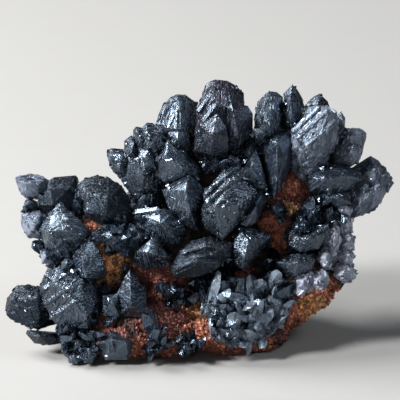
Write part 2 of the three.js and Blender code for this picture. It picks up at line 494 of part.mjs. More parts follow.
      [[-18, 30, -5], [-25, 32, -7], 6],
    ],
  },
  back_low_crystal: {
    buds: [
      [[-8, 22, -6], [-10, 28, -15], 7.4],
      [[-9, 25, -10], [-5, 26, -16], 5.4],
    ],
  },
  back_shoulder_crystal: {
    buds: [
      [[22, 28, -3], [28, 32, -9], 7],
      [[24, 29, -5], [24, 34, -12], 6],
    ],
  },
  back_tail_crystal: {
    buds: [
      [[-24, 20, 0], [-32, 22, -4], 7],
      [[-27, 21, -1], [-31, 17, -4], 5],
    ],
  },
};

// Lumps of limonite as [centre, radii] in the part's own axes.
const LUMPS = [
  [[-13, -3.6, 4], [13.5, 11.6, 7]],
  [[5, -1.6, 3.4], [14, 10.4, 5.6]],
  [[13.5, 3, 8.6], [11.5, 9, 7.6]],
  [[20.4, 1.4, 12.4], [8, 7.6, 6.6]],
  [[-9, 5, 16], [18, 9, 11]],
  [[5, 9.4, 27.4], [16, 8.4, 12]],
  [[19, 8.6, 24.5], [11, 8.4, 11]],
  [[-22, 3.4, 18], [8.6, 7.8, 10]],
  [[0, 8.6, 17], [21, 9.4, 15]],
  [[-3, 8.8, 6.5], [18, 9.8, 10.5]],
];
const LUMP_DETAIL = 2;
const ROUGHNESS = 0.08; // share of a lump's radius

function solidOf(geometry) {
  const bare = geometry.clone();
  bare.deleteAttribute("normal");
  bare.deleteAttribute("uv");
  const merged = mergeVertices(bare, 1e-4);
  return new wasm.Manifold(
    new wasm.Mesh({
      numProp: 3,
      vertProperties: merged.attributes.position.array,
      triVerts: new Uint32Array(merged.index.array),
    }),
  );
}

function geometryOf(solid) {
  const { vertProperties, triVerts } = solid.getMesh();
  const geometry = new THREE.BufferGeometry();
  geometry.setAttribute("position", new THREE.BufferAttribute(vertProperties.slice(), 3));
  geometry.setIndex(new THREE.BufferAttribute(triVerts.slice(), 1));
  return geometry;
}

function union(solids) {
  return solids.reduce((joined, solid) => joined.add(solid));
}

function middleOf(points) {
  const sum = points.reduce((total, point) => total.add(point), new THREE.Vector3());
  return sum.divideScalar(points.length);
}

// The solid inside a set of corners, with every corner pushed outwards by extra.
function hullSolid(points, extra) {
  const middle = middleOf(points);
  const pushed = points.map((point) => {
    const away = point.clone().sub(middle);
    return point.clone().addScaledVector(away.normalize(), extra * 1.8);
  });
  return solidOf(new ConvexGeometry(extra > 0 ? pushed : points));
}

function crystalPoints({ root, corners }) {
  const free = corners.map(placed);
  const middle = middleOf(free);
  const start = placed(root);
  const buried = free.map((corner) => corner.clone().sub(middle).multiplyScalar(ROOT_WAIST).add(start));
  return [...free, ...buried];
}

// One straight stretch of a lath: a long bar with a diamond section and sharp ends.
function lathPoints(from, to) {
  const start = placed(from);
  const end = placed(to);
  const along = end.clone().sub(start).normalize();
  const side = new THREE.Vector3().crossVectors(along, OUT).normalize();
  const proud = new THREE.Vector3().crossVectors(side, along);
  const bar = [start.clone().addScaledVector(along, -0.8), end.clone().addScaledVector(along, 0.8)];
  for (const point of [start, end]) {
    bar.push(point.clone().addScaledVector(side, LATH_WIDTH / 2));
    bar.push(point.clone().addScaledVector(side, -LATH_WIDTH / 2));
    bar.push(point.clone().addScaledVector(proud, LATH_WIDTH / 3));
  }
  return bar;
}

// A small crystal from its root to its tip: a rhombic body that ends in a chisel edge.
const BUD_RINGS = [
  { share: 0, across: 0.6, through: 0.5 },
  { share: 0.65, across: 1, through: 0.8 },
  { share: 1, across: 0.36, through: 0.06 },
];

function budPoints([root, tip, width]) {
  const start = placed(root);
  const end = placed(tip);
  const along = end.clone().sub(start).normalize();
  const side = new THREE.Vector3().crossVectors(along, UP).normalize();
  const through = new THREE.Vector3().crossVectors(side, along);
  return BUD_RINGS.flatMap((ring) => {
    const middle = start.clone().lerp(end, ring.share);
    return [
      middle.clone().addScaledVector(side, (ring.across * width) / 2),
      middle.clone().addScaledVector(side, (-ring.across * width) / 2),
      middle.clone().addScaledVector(through, (ring.through * width) / 2),
      middle.clone().addScaledVector(through, (-ring.through * width) / 2),
    ];
  });
}

function pieceSolid({ crystals = [], laths = [], buds = [] }, extra) {
  const bars = laths.flatMap((line) => line.slice(1).map((point, i) => lathPoints(line[i], point)));
  const hulls = [...crystals.map(crystalPoints), ...bars, ...buds.map(budPoints)];
  return union(hulls.map((points) => hullSolid(points, extra)));
}

// A repeatable wobble over the sphere of directions, between about -1 and 1.
function wobble({ x, y, z }, seed) {
  return (
    0.5 * Math.sin(3.1 * x + 4.3 * y + seed) +
    0.3 * Math.sin(7.3 * y - 5.9 * z + 2.1 * seed) +
    0.35 * Math.sin(11.7 * z + 9.1 * x - 1.3 * seed) +
    0.25 * Math.sin(17.3 * x - 15.1 * y + 13.9 * z + seed)
  );
}

function lumpSolid([centre, radii], seed, extra) {
  const geometry = new THREE.IcosahedronGeometry(1, LUMP_DETAIL);
  const places = geometry.attributes.position;
  const direction = new THREE.Vector3();
  for (let i = 0; i < places.count; i++) {
    direction.fromBufferAttribute(places, i).normalize();
    const swell = 1 + ROUGHNESS * wobble(direction, seed);
    const [x, y, z] = direction.toArray().map((share, k) => centre[k] + share * (radii[k] * swell + extra));
    places.setXYZ(i, x, y, z);
  }
  return solidOf(geometry);
}

function ground(top) {
  return solidOf(new THREE.BoxGeometry(200, 200, 40).translate(0, 0, top - 20));
}

function limonite(extra) {
  return union(LUMPS.map((lump, i) => lumpSolid(lump, i + 1, extra)));
}

const specimen = new THREE.Group();
const LIMONITE_LOOK = { color: 0x8a4a2a, roughness: 0.95, metalness: 0 };
const CRYSTAL_LOOK = { color: 0x1a2028, roughness: 0.35, metalness: 0.1 };

function addMesh(name, solid, look) {
  const mesh = new THREE.Mesh(geometryOf(solid), new THREE.MeshStandardMaterial(look));
  mesh.name = name;
  specimen.add(mesh);
}

addMesh("limonite_matrix", limonite(0).subtract(ground(0)), LIMONITE_LOOK);

// Every piece is trimmed to what was placed before it, less the seat gap, and keeps its largest part.
let taken = limonite(SEAT_GAP).add(ground(GROUND_CLEARANCE));
for (const [name, piece] of Object.entries(PIECES)) {
  const parts = pieceSolid(piece, 0).subtract(taken).decompose();
  const kept = parts.reduce((best, part) => (part.volume() > best.volume() ? part : best));
  addMesh(name, kept, CRYSTAL_LOOK);
  taken = taken.add(pieceSolid(piece, SEAT_GAP));
}

export default specimen;
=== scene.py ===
"""Descloizite specimen: grown crystal faces, small crystals and granular limonite over the solids."""

import itertools
import math
from collections import namedtuple

import bpy
import numpy as np
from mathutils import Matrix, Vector


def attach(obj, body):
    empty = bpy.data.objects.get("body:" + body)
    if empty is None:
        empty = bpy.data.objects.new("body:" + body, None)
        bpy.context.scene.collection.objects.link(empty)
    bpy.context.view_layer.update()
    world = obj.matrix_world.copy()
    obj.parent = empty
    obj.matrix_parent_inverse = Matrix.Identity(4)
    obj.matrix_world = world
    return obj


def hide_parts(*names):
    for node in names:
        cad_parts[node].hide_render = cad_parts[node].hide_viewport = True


bl_info = {
    "name": "Descloizite Specimen",
    "version": (1, 0, 0),
    "blender": (4, 5, 0),
    "location": "View3D > Sidebar > Specimen",
    "description": "Builds the crystals and limonite of a descloizite specimen, and a studio stage",
    "category": "Object",
}

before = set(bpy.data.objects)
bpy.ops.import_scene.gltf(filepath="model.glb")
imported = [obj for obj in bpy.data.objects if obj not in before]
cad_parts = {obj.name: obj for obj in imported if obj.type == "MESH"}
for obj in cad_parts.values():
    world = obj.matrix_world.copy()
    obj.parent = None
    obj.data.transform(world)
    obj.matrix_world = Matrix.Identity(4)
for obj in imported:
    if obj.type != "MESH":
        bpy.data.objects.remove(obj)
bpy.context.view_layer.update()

MM = 0.001  # metres in a millimetre, since the shapes below are worked out in millimetres

# The display plane leans back. These are the way up along it, the way that it faces, the place that heights
# along it are counted from, and the place that the camera and the lights point at.
TILT = math.radians(20)
UP = np.array([0, math.sin(TILT), math.cos(TILT)])
OUT = np.array([0, -math.cos(TILT), math.sin(TILT)])
ORIGIN = np.array([0, 0, -6.2])
AIM = ORIGIN + UP * 33.2 + OUT * 6

# How a crystal's faces grew, in millimetres: how deep their edges are chipped, how many plates they have to
# a square millimetre, half the plates' length and width, their thickness, how much narrower their tops are,
# and how far they lean out of the face and turn away from the growth.
Growth = namedtuple("Growth", "chips plates half_length half_width thick taper lean turn")
GROWTHS = {
    "even": Growth(0.03, 0.12, 1.9, 0.9, 0.06, 0.95, 0.02, 0.06),
    "ribbed": Growth(0.05, 0.45, 2.8, 0.4, 0.11, 0.85, 0.04, 0.05),
    "stepped": Growth(0.07, 0.45, 2.6, 0.6, 0.18, 0.8, 0.07, 0.08),
    "crusted": Growth(0.08, 0.18, 1.7, 0.9, 0.4, 0.6, 0.25, 0.7),
    "frosted": Growth(0.15, 1.1, 1.3, 0.35, 0.3, 0.7, 0.45, 0.35),
}

# The finish and the growth of each crystal.
LEFT_ARM = {
    "left_tip_crystal": ("pale", "ribbed"),
    "left_blade": ("pale", "stepped"),
    "left_foot_crystal": ("pale", "even"),
    "left_slab": ("shaded", "even"),
    "left_roof_wedge": ("slate", "stepped"),
    "left_disc": ("shaded", "ribbed"),
    "left_pointing_crystal": ("satin_dark", "even"),
    "left_recess_crystal": ("dark", "even"),
}
CREST = {
    "crest_fan": ("dark", "stepped"),
    "crest_chisel": ("slate", "ribbed"),
    "crest_slate_crystal": ("slate", "even"),
    "crown": ("plum", "ribbed"),
    "crest_bevelled_peak": ("slate", "ribbed"),
    "crest_pointed_peak": ("slate", "ribbed"),
    "crest_back_crystal": ("dark", "ribbed"),
    "crest_stepped_crystal": ("pale", "stepped"),
    "crest_gap_crystal": ("slate", "even"),
    "fan_foot_crystal": ("dark", "stepped"),
    "crown_foot_crystal": ("plum", "even"),
}
HEART = {
    "middle_bevelled_wedge": ("satin_slate", "even"),
    "small_roof_crystal": ("satin_slate", "even"),
    "blue_facet_crystal": ("satin_slate", "even"),
    "kite_blade": ("satin_slate", "even"),
    "heart_hanging_spear": ("satin_dark", "even"),
    "heart_triangle_blade": ("satin_dark", "even"),
    "stacked_crystal": ("dark", "stepped"),
    "curved_ridge_crystal": ("shaded", "ribbed"),
    "heart_dark_blade": ("dark", "ribbed"),
    "heart_band_crystal": ("satin_dark", "even"),
}
RIGHT = {
    "right_pale_tip": ("pale", "ribbed"),
    "right_shoulder": ("pale", "stepped"),
    "right_fluted_wing": ("pale", "stepped"),
    "right_lens": ("satin_dark", "ribbed"),
    "right_recess_crystal": ("dark", "even"),
    "lower_right_blade": ("dark", "ribbed"),
    "shell_fan": ("dark", "ribbed"),
}
LOWER_LEFT = {
    "striped_crystal": ("dark", "ribbed"),
    "serrated_crystal": ("shaded", "stepped"),
    "low_left_crystal": ("shaded", "even"),
    "bright_wedge": ("satin_slate", "even"),
    "toe_blades": ("satin_dark", "even"),
}
DRUSES = {
    "lower_druse": ("druse", "crusted"),
    "lilac_druse": ("crust", "frosted"),
    "right_edge_druse": ("crust", "frosted"),
    "toe_druse": ("dark", "crusted"),
    "toe_ledge": ("slate", "crusted"),
    "toe_slate_ledge": ("slate", "crusted"),
}
BACK = {
    "back_crown_crystal": ("dark", "ribbed"),
    "back_crest_crystal": ("dark", "ribbed"),
    "back_right_crystal": ("slate", "ribbed"),
    "back_middle_crystal": ("dark", "even"),
    "back_left_crystal": ("slate", "ribbed"),
    "back_low_crystal": ("dark", "even"),
    "back_shoulder_crystal": ("dark", "ribbed"),
    "back_tail_crystal": ("dark", "even"),
}

LARGE = (LEFT_ARM, CREST, HEART, RIGHT, LOWER_LEFT)
TOES = ("toe_druse", "toe_ledge", "toe_slate_ledge")

# Stains on the limonite as [across, up, radius] on the display plane.
STAINS = {
    "rust": [
        [17.4, 35.6, 2.2], [12.6, 34, 1.5], [13.6, 28, 2.2], [16, 25.2, 2.2], [26, 31.6, 1.2],
        [0, 6.6, 3.4], [20, 11, 4.4], [24, 14, 4], [8, 19, 2], [-22, 28, 1.4], [-13, 3, 3], [-4, 3, 3.4],
        [5, 3, 3.6], [12, 4, 3],
    ],
    "maroon": [
        [-8, 17, 4.6], [-8, 9, 5], [-3, 12, 4], [18, 36.6, 4.4], [15.4, 29, 2.4], [27, 14.6, 2.4],
        [19, 7, 3], [-18, 5, 4], [-9, 5, 4], [1, 4, 3],
    ],
    "ochre": [
        [-18.4, 22, 3.4], [-19.6, 18, 3], [0, 12.4, 3], [17.6, 31.6, 1.3], [25.6, 29.2, 1.8],
        [22.4, 11.6, 2.8], [-2, 42.6, 1.2], [11.8, 44.6, 0.9],
    ],
}

# Where the small crystals crowd together, as [across, up, radius] on the display plane.
CROWDS = [
    [23.5, 30.5, 2.6], [20, 28.6, 1.8], [15.6, 30.8, 1.2], [19.6, 24, 2.4], [7, 12, 5.5], [-4.5, 14, 3],
    [3, 18, 4], [-16, 25, 3], [-9, 5.6, 2],
]

# The stains behind, which have no places of their own: mean, swing, size in millimetres and seed.
BACK_STAINS = {"maroon": (0.5, 0.5, 6, 31), "rust": (0.42, 0.7, 7, 32), "ochre": (0.3, 0.8, 8, 33)}

# Nuggets of limonite, as [across, up, radius].
NUGGETS = [
    [17.6, 31.6, 1.4], [13.4, 28.2, 2], [16, 25.4, 2], [25.6, 29.2, 1.2], [8, 18, 1.2], [-18.6, 21.4, 2],
]

# The limonite that shows through the pale crust, as [across, up, radius].
BARE_PATCH = [[23.4, 11.4, 3.8], [25.8, 13.4, 2.4], [20.8, 9.6, 3.2], [18.6, 6.4, 2.4]]

# Where the limonite swells out, as [across, up, radius].
SWELL = [[26, 9.4, 5]]


def unit(vectors):
    """The vectors at a length of one."""
    return vectors / np.maximum(np.linalg.norm(vectors, axis=-1, keepdims=True), 1e-12)


def eased(low, high, value):
    """Runs smoothly from 0 at low to 1 at high."""
    share = np.clip((value - low) / (high - low), 0, 1)
    return share * share * (3 - 2 * share)


def hashed(x, y, z, seed):
    """A repeatable number from 0 to 1 for each whole x, y and z."""
    mixed = (x * 73856093) ^ (y * 19349663) ^ (z * 83492791) ^ (seed * 40503 + 977)
    mixed = (mixed ^ (mixed >> 13)) * 1274126177
    return ((mixed ^ (mixed >> 16)) & 0xFFFF) / 0xFFFF


def noise(points, size, seed):
    """Smooth noise from -1 to 1 that changes over about size millimetres."""
    place = points / size
    cell = np.floor(place).astype(np.int64)
    share = place - cell
    share = share * share * (3 - 2 * share)
    total = np.zeros(len(points))
    for corner in itertools.product((0, 1), repeat=3):
        weight = np.prod(np.where(corner, share, 1 - share), axis=1)
        total += weight * hashed(*(cell + corner).T, seed)
    return 2 * total - 1


def solid_of(node):
    """A solid's points in millimetres and its triangles, with shared corners joined."""
    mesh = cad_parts[node].data
    places = np.empty(len(mesh.vertices) * 3)
    mesh.vertices.foreach_get("co", places)
    corners = np.empty(len(mesh.loops), int)
    mesh.loops.foreach_get("vertex_index", corners)
    points, joined = np.unique(places.reshape(-1, 3), axis=0, return_inverse=True)
    return points / MM, joined.ravel()[corners].reshape(-1, 3)


def normals_of(points, triangles):
    """Each triangle's normal, as long as twice its area."""
    a, b, c = points[triangles].transpose(1, 0, 2)
    return np.cross(b - a, c - a)


def point_normals(points, triangles):
    """Each point's normal, averaged over its triangles."""
    total = np.zeros_like(points)
    for k in range(3):
        np.add.at(total, triangles[:, k], normals_of(points, triangles))
    return unit(total)


MOST_POINTS = 10_000_000  # more than any piece has


def edges_of(triangles):
    """The edges as sorted pairs of points, and the three edges of each triangle."""
    pairs = np.sort(triangles[:, [[0, 1], [1, 2], [2, 0]]].reshape(-1, 2), axis=1)
    keys, which = np.unique(pairs[:, 0] * MOST_POINTS + pairs[:, 1], return_inverse=True)
    return np.stack(np.divmod(keys, MOST_POINTS), 1), which.reshape(-1, 3)


def neighbours_of(triangles):
    """The pairs of triangles that share an edge, and that edge."""
    edges, which = edges_of(triangles)
    order = np.argsort(which.ravel(), kind="stable").reshape(-1, 2)
    return order // 3, edges


FACE_BEND = math.radians(9)  # triangles that bend less than this belong to one crystal face
SLIVER_AREA = 0.004  # a smaller triangle joins its neighbour's face across an edge longer than SLIVER_EDGE
SLIVER_EDGE = 0.3


def faces_of(points, triangles):
    """The crystal face of each triangle: neighbours within the bend share a number."""
    pairs, edges = neighbours_of(triangles)
    normals = normals_of(points, triangles)
    area = np.linalg.norm(normals, axis=1) / 2
    normals = unit(normals)
    level = (normals[pairs[:, 0]] * normals[pairs[:, 1]]).sum(1) > math.cos(FACE_BEND)
    length = np.linalg.norm(points[edges[:, 0]] - points[edges[:, 1]], axis=1)
    level |= (area[pairs].min(1) < SLIVER_AREA) & (length > SLIVER_EDGE)
    pairs = pairs[level]
    faces = np.arange(len(triangles))
    while True:
        lowest = faces[pairs].min(1)
        after = faces.copy()
        np.minimum.at(after, pairs[:, 0], lowest)
        np.minimum.at(after, pairs[:, 1], lowest)
        if (after == faces).all():
            return np.unique(faces, return_inverse=True)[1]
        faces = after


SPLIT_ROUNDS = 14


def refined(points, triangles, faces, longest):
    """Splits every edge that is longer than longest(middles), keeping the solid closed."""
    for _ in range(SPLIT_ROUNDS):
        edges, which = edges_of(triangles)
        ends = points[edges]
        length = np.linalg.norm(ends[:, 0] - ends[:, 1], axis=1)
        middles = ends.mean(axis=1)
        split = length > longest(middles)
        if not split.any():
            break
        chief = np.argmax(length[which], axis=1)
        chief_edge = which[np.arange(len(which)), chief]
        count = 0
        while count != split.sum():
            count = split.sum()
            split[chief_edge[split[which].any(axis=1)]] = True
        added = np.full(len(edges), -1)
        added[split] = len(points) + np.arange(split.sum())
        points = np.concatenate([points, middles[split]])
        turn = (chief[:, None] + np.arange(3)) % 3
        a, b, c = np.take_along_axis(triangles, turn, 1).T
        p, q, r = added[np.take_along_axis(which, turn, 1)].T
        whole, first, last = p < 0, (p >= 0) & (r < 0), (p >= 0) & (r >= 0)
        near, far = (p >= 0) & (q < 0), (p >= 0) & (q >= 0)
        made = [
            (whole, a, b, c),
            (first, a, p, c),
            (last, a, p, r),
            (last, r, p, c),
            (near, p, b, c),
            (far, p, b, q),
            (far, p, q, c),
        ]
        triangles = np.concatenate([np.stack(corners, 1)[chosen] for chosen, *corners in made])
        faces = np.concatenate([faces[chosen] for chosen, *_ in made])
    return points, triangles, faces


def distance_to_edges(points, triangles, faces, rims):
    """How far each point is from the nearest edge of the crystal face that it is on."""
    starts, ends, sides = rims
    distance = np.zeros(len(points))
    order = np.argsort(faces, kind="stable")
    bounds = np.searchsorted(faces[order], np.arange(faces.max() + 2))
    for face in range(faces.max() + 1):
        own = np.unique(triangles[order[bounds[face] : bounds[face + 1]]])
        around = (sides == face).any(axis=1)
        if not len(own) or not around.any():
            continue
        a, b = starts[around], ends[around]
        along = b - a
        share = ((points[own][:, None] - a) * along).sum(2) / np.maximum((along * along).sum(1), 1e-9)
        foot = a + along * np.clip(share, 0, 1)[:, :, None]
        distance[own] = np.linalg.norm(points[own][:, None] - foot, axis=2).min(1)
    return distance


def mosaic(place, seed):
    """A number from 0 to 1 for each place: that of the block of a mosaic that the place falls in."""
    cell = np.floor(place).astype(np.int64)
    nearest = np.full(len(place), np.inf)
    number = np.zeros(len(place))
    for step in itertools.product((-1, 0, 1), repeat=3):
        at = cell + step
        middle = 0.1 + 0.8 * np.stack([hashed(*at.T, seed + 17 * k) for k in range(3)], 1)
        distance = np.abs(place - at - middle).sum(1)
        closer = distance < nearest
        nearest[closer] = distance[closer]
        number[closer] = hashed(*at.T, seed + 99)[closer]
    return number


def away_from(spots, points):
    """How far each point is from the spots [across, up, radius] on the display plane, in their radii."""
    spots = np.array(spots)
    across, up = points[:, :1], ((points - ORIGIN) @ UP)[:, None]
    return np.hypot(across - spots[:, 0], up - spots[:, 1]) / spots[:, 2]


def seen(facing):
    """How squarely each direction faces out of the display side, from 0 for edge on to 1."""
    return np.maximum(0, facing @ OUT)


# A facet that the crystals have in common, turned so that it catches the front light. A share of the plates
# on faces near it lean towards it and are larger by TILTED_GROWTH.
FACET = np.array([-0.435, -0.6, 0.67])
FACET_SHARE = 0.32
FACET_NEAR = 0.68  # the cosine of the widest angle between the facet and such a face
FACET_PULL = 0.8  # how far they lean towards it: 1 is all the way
TILTED_GROWTH = 0.6

# Where plates end, in millimetres: their least height over the ground, and how far they may pass the edges
# of a face, along the growth and across it on both sides together.
PLATES_ABOVE = 1.5
PAST_TIP = 0.22
PAST_SIDE = 0.3
PLATE_TO_FACE = 0.42  # half a plate's greatest length, as a share of its face's width
PLATE_GRAIN = 3  # the part of the rib pattern that the plates use
PLATE_HIGHLIGHT = [0.2] * 6 + [0.9] * 6  # how strongly a highlight is painted on a plate's top and on its foot; both let it be glossy

# The outline of a growth plate as [along, across], starting at its tip.
PLATE = np.array([[1, 0], [0.5, 0.5], [-0.9, 0.42], [-1, -0.3], [-0.1, -0.5], [0.6, -0.42]])
PLATE_FACES = np.array(
    [[0, k, k + 1] for k in range(1, 5)]
    + [[6, 6 + k + 1, 6 + k] for k in range(1, 5)]
    + [[k, 6 + k, 6 + (k + 1) % 6] for k in range(6)]
    + [[k, 6 + (k + 1) % 6, (k + 1) % 6] for k in range(6)]
)


def plates_on(points, triangles, faces, near, axes, growth, seed):
    """The plates that grew on the faces: their points and triangles, and each triangle's tone and grain."""
    chance = np.random.default_rng(seed)
    normals = normals_of(points, triangles)
    area = np.linalg.norm(normals, axis=1) / 2
    middles = points[triangles].mean(axis=1)
    weight = area * (points[triangles][:, :, 2].min(axis=1) > PLATES_ABOVE)
    weight *= away_from(BARE_PATCH, middles).min(axis=1) > 0.85
    count = int(weight.sum() * growth.plates)
    spots = chance.choice(len(triangles), count, p=weight / weight.sum())

    def vary(low, high):
        return chance.uniform(low, high, (count, 1))

    outward = unit(normals[spots])
    tilted = (chance.random(count) < FACET_SHARE) * (outward @ FACET > FACET_NEAR)
    outward = np.where(tilted[:, None], unit((1 - FACET_PULL) * outward + FACET_PULL * FACET), outward)
    along, across = axes[0][spots], axes[1][spots]
    turned = along + across * chance.normal(0, growth.turn, (count, 1))
    forward = unit(turned + outward * growth.lean * vary(0.4, 1.6))
    side = unit(np.cross(outward, forward))
    out = np.cross(forward, side)
    room = near[triangles[spots]].mean(axis=1)[:, None]
    span = np.sqrt(np.bincount(faces, area))[faces[spots]][:, None]
    large = vary(0.4, 1.4) * (1 + TILTED_GROWTH * tilted[:, None])
    large = np.minimum(large, PLATE_TO_FACE * span / growth.half_length)
    length = np.minimum(growth.half_length * large, room + PAST_TIP)
    wide = np.minimum(2 * growth.half_width * large * vary(0.7, 1.3), 2 * room + PAST_SIDE)
    thick = growth.thick * vary(0.4, 1.6) * np.minimum(1, 0.4 + large)
    outline = PLATE + chance.uniform(-0.14, 0.14, (count, 6, 2))
    rings = []
    bevel = np.minimum(thick, 0.3) * 1.3
    for level, share, spread in ((thick, growth.taper, 0), (-0.4 * thick, 1, bevel)):
        flat = forward[:, None] * (outline[:, :, :1] * (length * share + spread)[:, None])
        flat = flat + side[:, None] * (outline[:, :, 1:] * (wide * share + spread)[:, None])
        rings.append(middles[spots][:, None] + flat + (out * level)[:, None])
    shape = np.concatenate(rings, axis=1)
    shape[:, :, 2] = np.maximum(shape[:, :, 2], 0.1)
    made = (PLATE_FACES[None] + 12 * np.arange(count)[:, None, None]).reshape(-1, 3)
    shape = shape.reshape(-1, 3)
    each = len(PLATE_FACES)
    corners = shape[made]
    grain = [(corners * np.repeat(axis, each, axis=0)[:, None]).sum(2) for axis in (across, along)]
    grain = np.stack([*grain, np.full(made.shape, PLATE_GRAIN)], 2)
    return shape, made, np.repeat(vary(0, 1), each), grain


MOST_CUBES = 8192  # more cubes than there are along any axis


def cells(points, size):
    """The number of the cube of the given size that each point is in."""
    x, y, z = (np.floor(points / size).astype(np.int64) + MOST_CUBES // 2).T
    return (x * MOST_CUBES + y) * MOST_CUBES + z


def cells_along(starts, ends, size):
    """The numbers of the cubes on and beside the lines."""
    shares = np.linspace(0, 1, 2 + int(np.linalg.norm(ends - starts, axis=1).max() / size))[:, None, None]
    points = (starts + (ends - starts) * shares).reshape(-1, 3)
    steps = np.array(list(itertools.product((-1, 0, 1), repeat=3))) * size
    return np.unique(cells((points[:, None] + steps).reshape(-1, 3), size))


# The mesh is finer near the edges of a face: the size of the cubes along them, in millimetres, and how long
# the mesh's edges may be there, in finenesses.
EDGE_BANDS = ((0.9, 2.4), (0.36, 1.0))
PLAIN_LENGTH = 6  # and elsewhere

# The place that a crystal grows away from: a share of its own middle, then an offset.
GROWS_FROM_SHARE = np.array([0.55, 0, 0.5])
GROWS_FROM = np.array([0, 8, 0])
FAN = 0.25  # how much a crystal's faces fan out from its own growth

# The first is how wide the band along each face's edge is, in millimetres: it is lowered as wear, and the
# material paints a highlight on it.
WEAR_AND_HIGHLIGHT_WIDTH = 0.22
WORN_DEPTH = 0.04
CHIPPED_WIDTH = 0.6
RIB_SHIFT = 40  # how far apart two faces can lie in the rib pattern


def face_axes(points, triangles, faces):
    """Each face's own axes: along the growth, away from the heart of the specimen, and across it."""
    count = faces.max() + 1
    normals = normals_of(points, triangles)
    facing = np.zeros((count, 3))
    np.add.at(facing, faces, normals)
    facing = unit(facing)
    weight = np.linalg.norm(normals, axis=1)
    middle = np.zeros((count, 3))
    np.add.at(middle, faces, points[triangles].mean(axis=1) * weight[:, None])
    middle /= np.maximum(np.bincount(faces, weight, count), 1e-12)[:, None]
    centre = points.mean(axis=0)
    growing = unit(centre - centre * GROWS_FROM_SHARE - GROWS_FROM) + FAN * unit(middle - centre)
    growing = unit(growing - (growing * facing).sum(1)[:, None] * facing)
    return growing[faces], np.cross(growing, facing)[faces]


def crystal_shape(node, growth, fineness):
    """The node's solid with its face edges chipped and lowered as wear, a band along them where the material
    paints a highlight, and the plates that grew on them.
    """
    seed = sum(node.encode()) % 997
    growth = GROWTHS[growth]
    points, triangles = solid_of(node)
    faces = faces_of(points, triangles)
    pairs, edges = neighbours_of(triangles)
    between = faces[pairs]
    rim = between[:, 0] != between[:, 1]
    rims = points[edges[rim, 0]], points[edges[rim, 1]], between[rim]
    bands = [(size, length, cells_along(*rims[:2], size)) for size, length in EDGE_BANDS]

    def finer_at_edges(middles):
        longest = np.full(len(middles), fineness * PLAIN_LENGTH)
        for size, length, close in bands:
            longest[np.isin(cells(middles, size), close)] = fineness * length
        return longest

    points, triangles, faces = refined(points, triangles, faces, finer_at_edges)
    near = distance_to_edges(points, triangles, faces, rims)
    axes = face_axes(points, triangles, faces)

    chipped = mosaic(points / 1.3, seed + 5) ** 2 + 0.4 * mosaic(points / 0.6, seed + 6) ** 2
    wear_and_highlight = 1 - eased(0, WEAR_AND_HIGHLIGHT_WIDTH, near)
    lift = WORN_DEPTH * wear_and_highlight + growth.chips * chipped * (1 - eased(0, CHIPPED_WIDTH, near))
    shaped = points - point_normals(points, triangles) * lift[:, None]
    tone = hashed(faces, faces * 3 + 1, faces + 11, seed)
    grain = [(points[triangles] * axis[:, None]).sum(2) for axis in reversed(axes)]
    shift = np.repeat(hashed(faces, faces + 7, faces + 3, seed)[:, None] * RIB_SHIFT, 3, axis=1)
    plates, plate_triangles, plate_tone, plate_grain = plates_on(
        shaped, triangles, faces, near, axes, growth, seed
    )
    return (
        np.concatenate([shaped, plates]),
        np.concatenate([triangles, plate_triangles + len(shaped)]),
        # The band along the edges also carries a painted highlight, and the plates carry one on their tops
        # and feet.
        {"edge": np.concatenate([wear_and_highlight, np.tile(PLATE_HIGHLIGHT, len(plates) // 12)])},
        np.concatenate([tone, plate_tone]),
        np.concatenate([np.stack([*grain, shift], 2), plate_grain]),
    )


def store(mesh, name, kind, domain, values):
    """Keeps values on the mesh for its material to read."""
    layer = mesh.attributes.new(name, kind, domain)
    part = "vector" if kind == "FLOAT_VECTOR" else "value"
    layer.data.foreach_set(part, values.astype(np.float32).ravel())


def make_piece(name, points, triangles, values, tone, grain=None, sharp=18):
    """A mesh piece from points in millimetres, riding on the specimen."""
    mesh = bpy.data.meshes.new(name)
    mesh.vertices.add(len(points))
    mesh.vertices.foreach_set("co", (points * MM).ravel())
    mesh.loops.add(triangles.size)
    mesh.loops.foreach_set("vertex_index", triangles.ravel().astype(np.int32))
    mesh.polygons.add(len(triangles))
    mesh.polygons.foreach_set("loop_start", np.arange(0, triangles.size, 3, dtype=np.int32))
    mesh.update(calc_edges=True)
    mesh.validate()
    for key, numbers in values.items():
        store(mesh, key, "FLOAT", "POINT", numbers)
    store(mesh, "tone", "FLOAT", "FACE", tone)
    if grain is not None:
        store(mesh, "grain", "FLOAT_VECTOR", "CORNER", grain)
    if sharp:
        mesh.set_sharp_from_angle(angle=math.radians(sharp))
    else:
        mesh.shade_flat()
    piece = bpy.data.objects.new(name, mesh)
    bpy.context.scene.collection.objects.link(piece)
    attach(piece, "root")
    return piece


class Wire:
    """A number running through a shader. Sums written with it become Math nodes."""

    def __init__(self, graph, socket):
        self.graph = graph
        self.socket = socket

    def _math(self, operation, first, second):
        return self.graph.add("ShaderNodeMath", {"operation": operation}, {0: first, 1: second})

    def __add__(self, other):
        return self._math("ADD", self, other)

    def __radd__(self, other):
        return self._math("ADD", other, self)

    def __sub__(self, other):
        return self._math("SUBTRACT", self, other)

    def __rsub__(self, other):
        return self._math("SUBTRACT", other, self)

    def __mul__(self, other):
        return self._math("MULTIPLY", self, other)

    def __rmul__(self, other):
        return self._math("MULTIPLY", other, self)


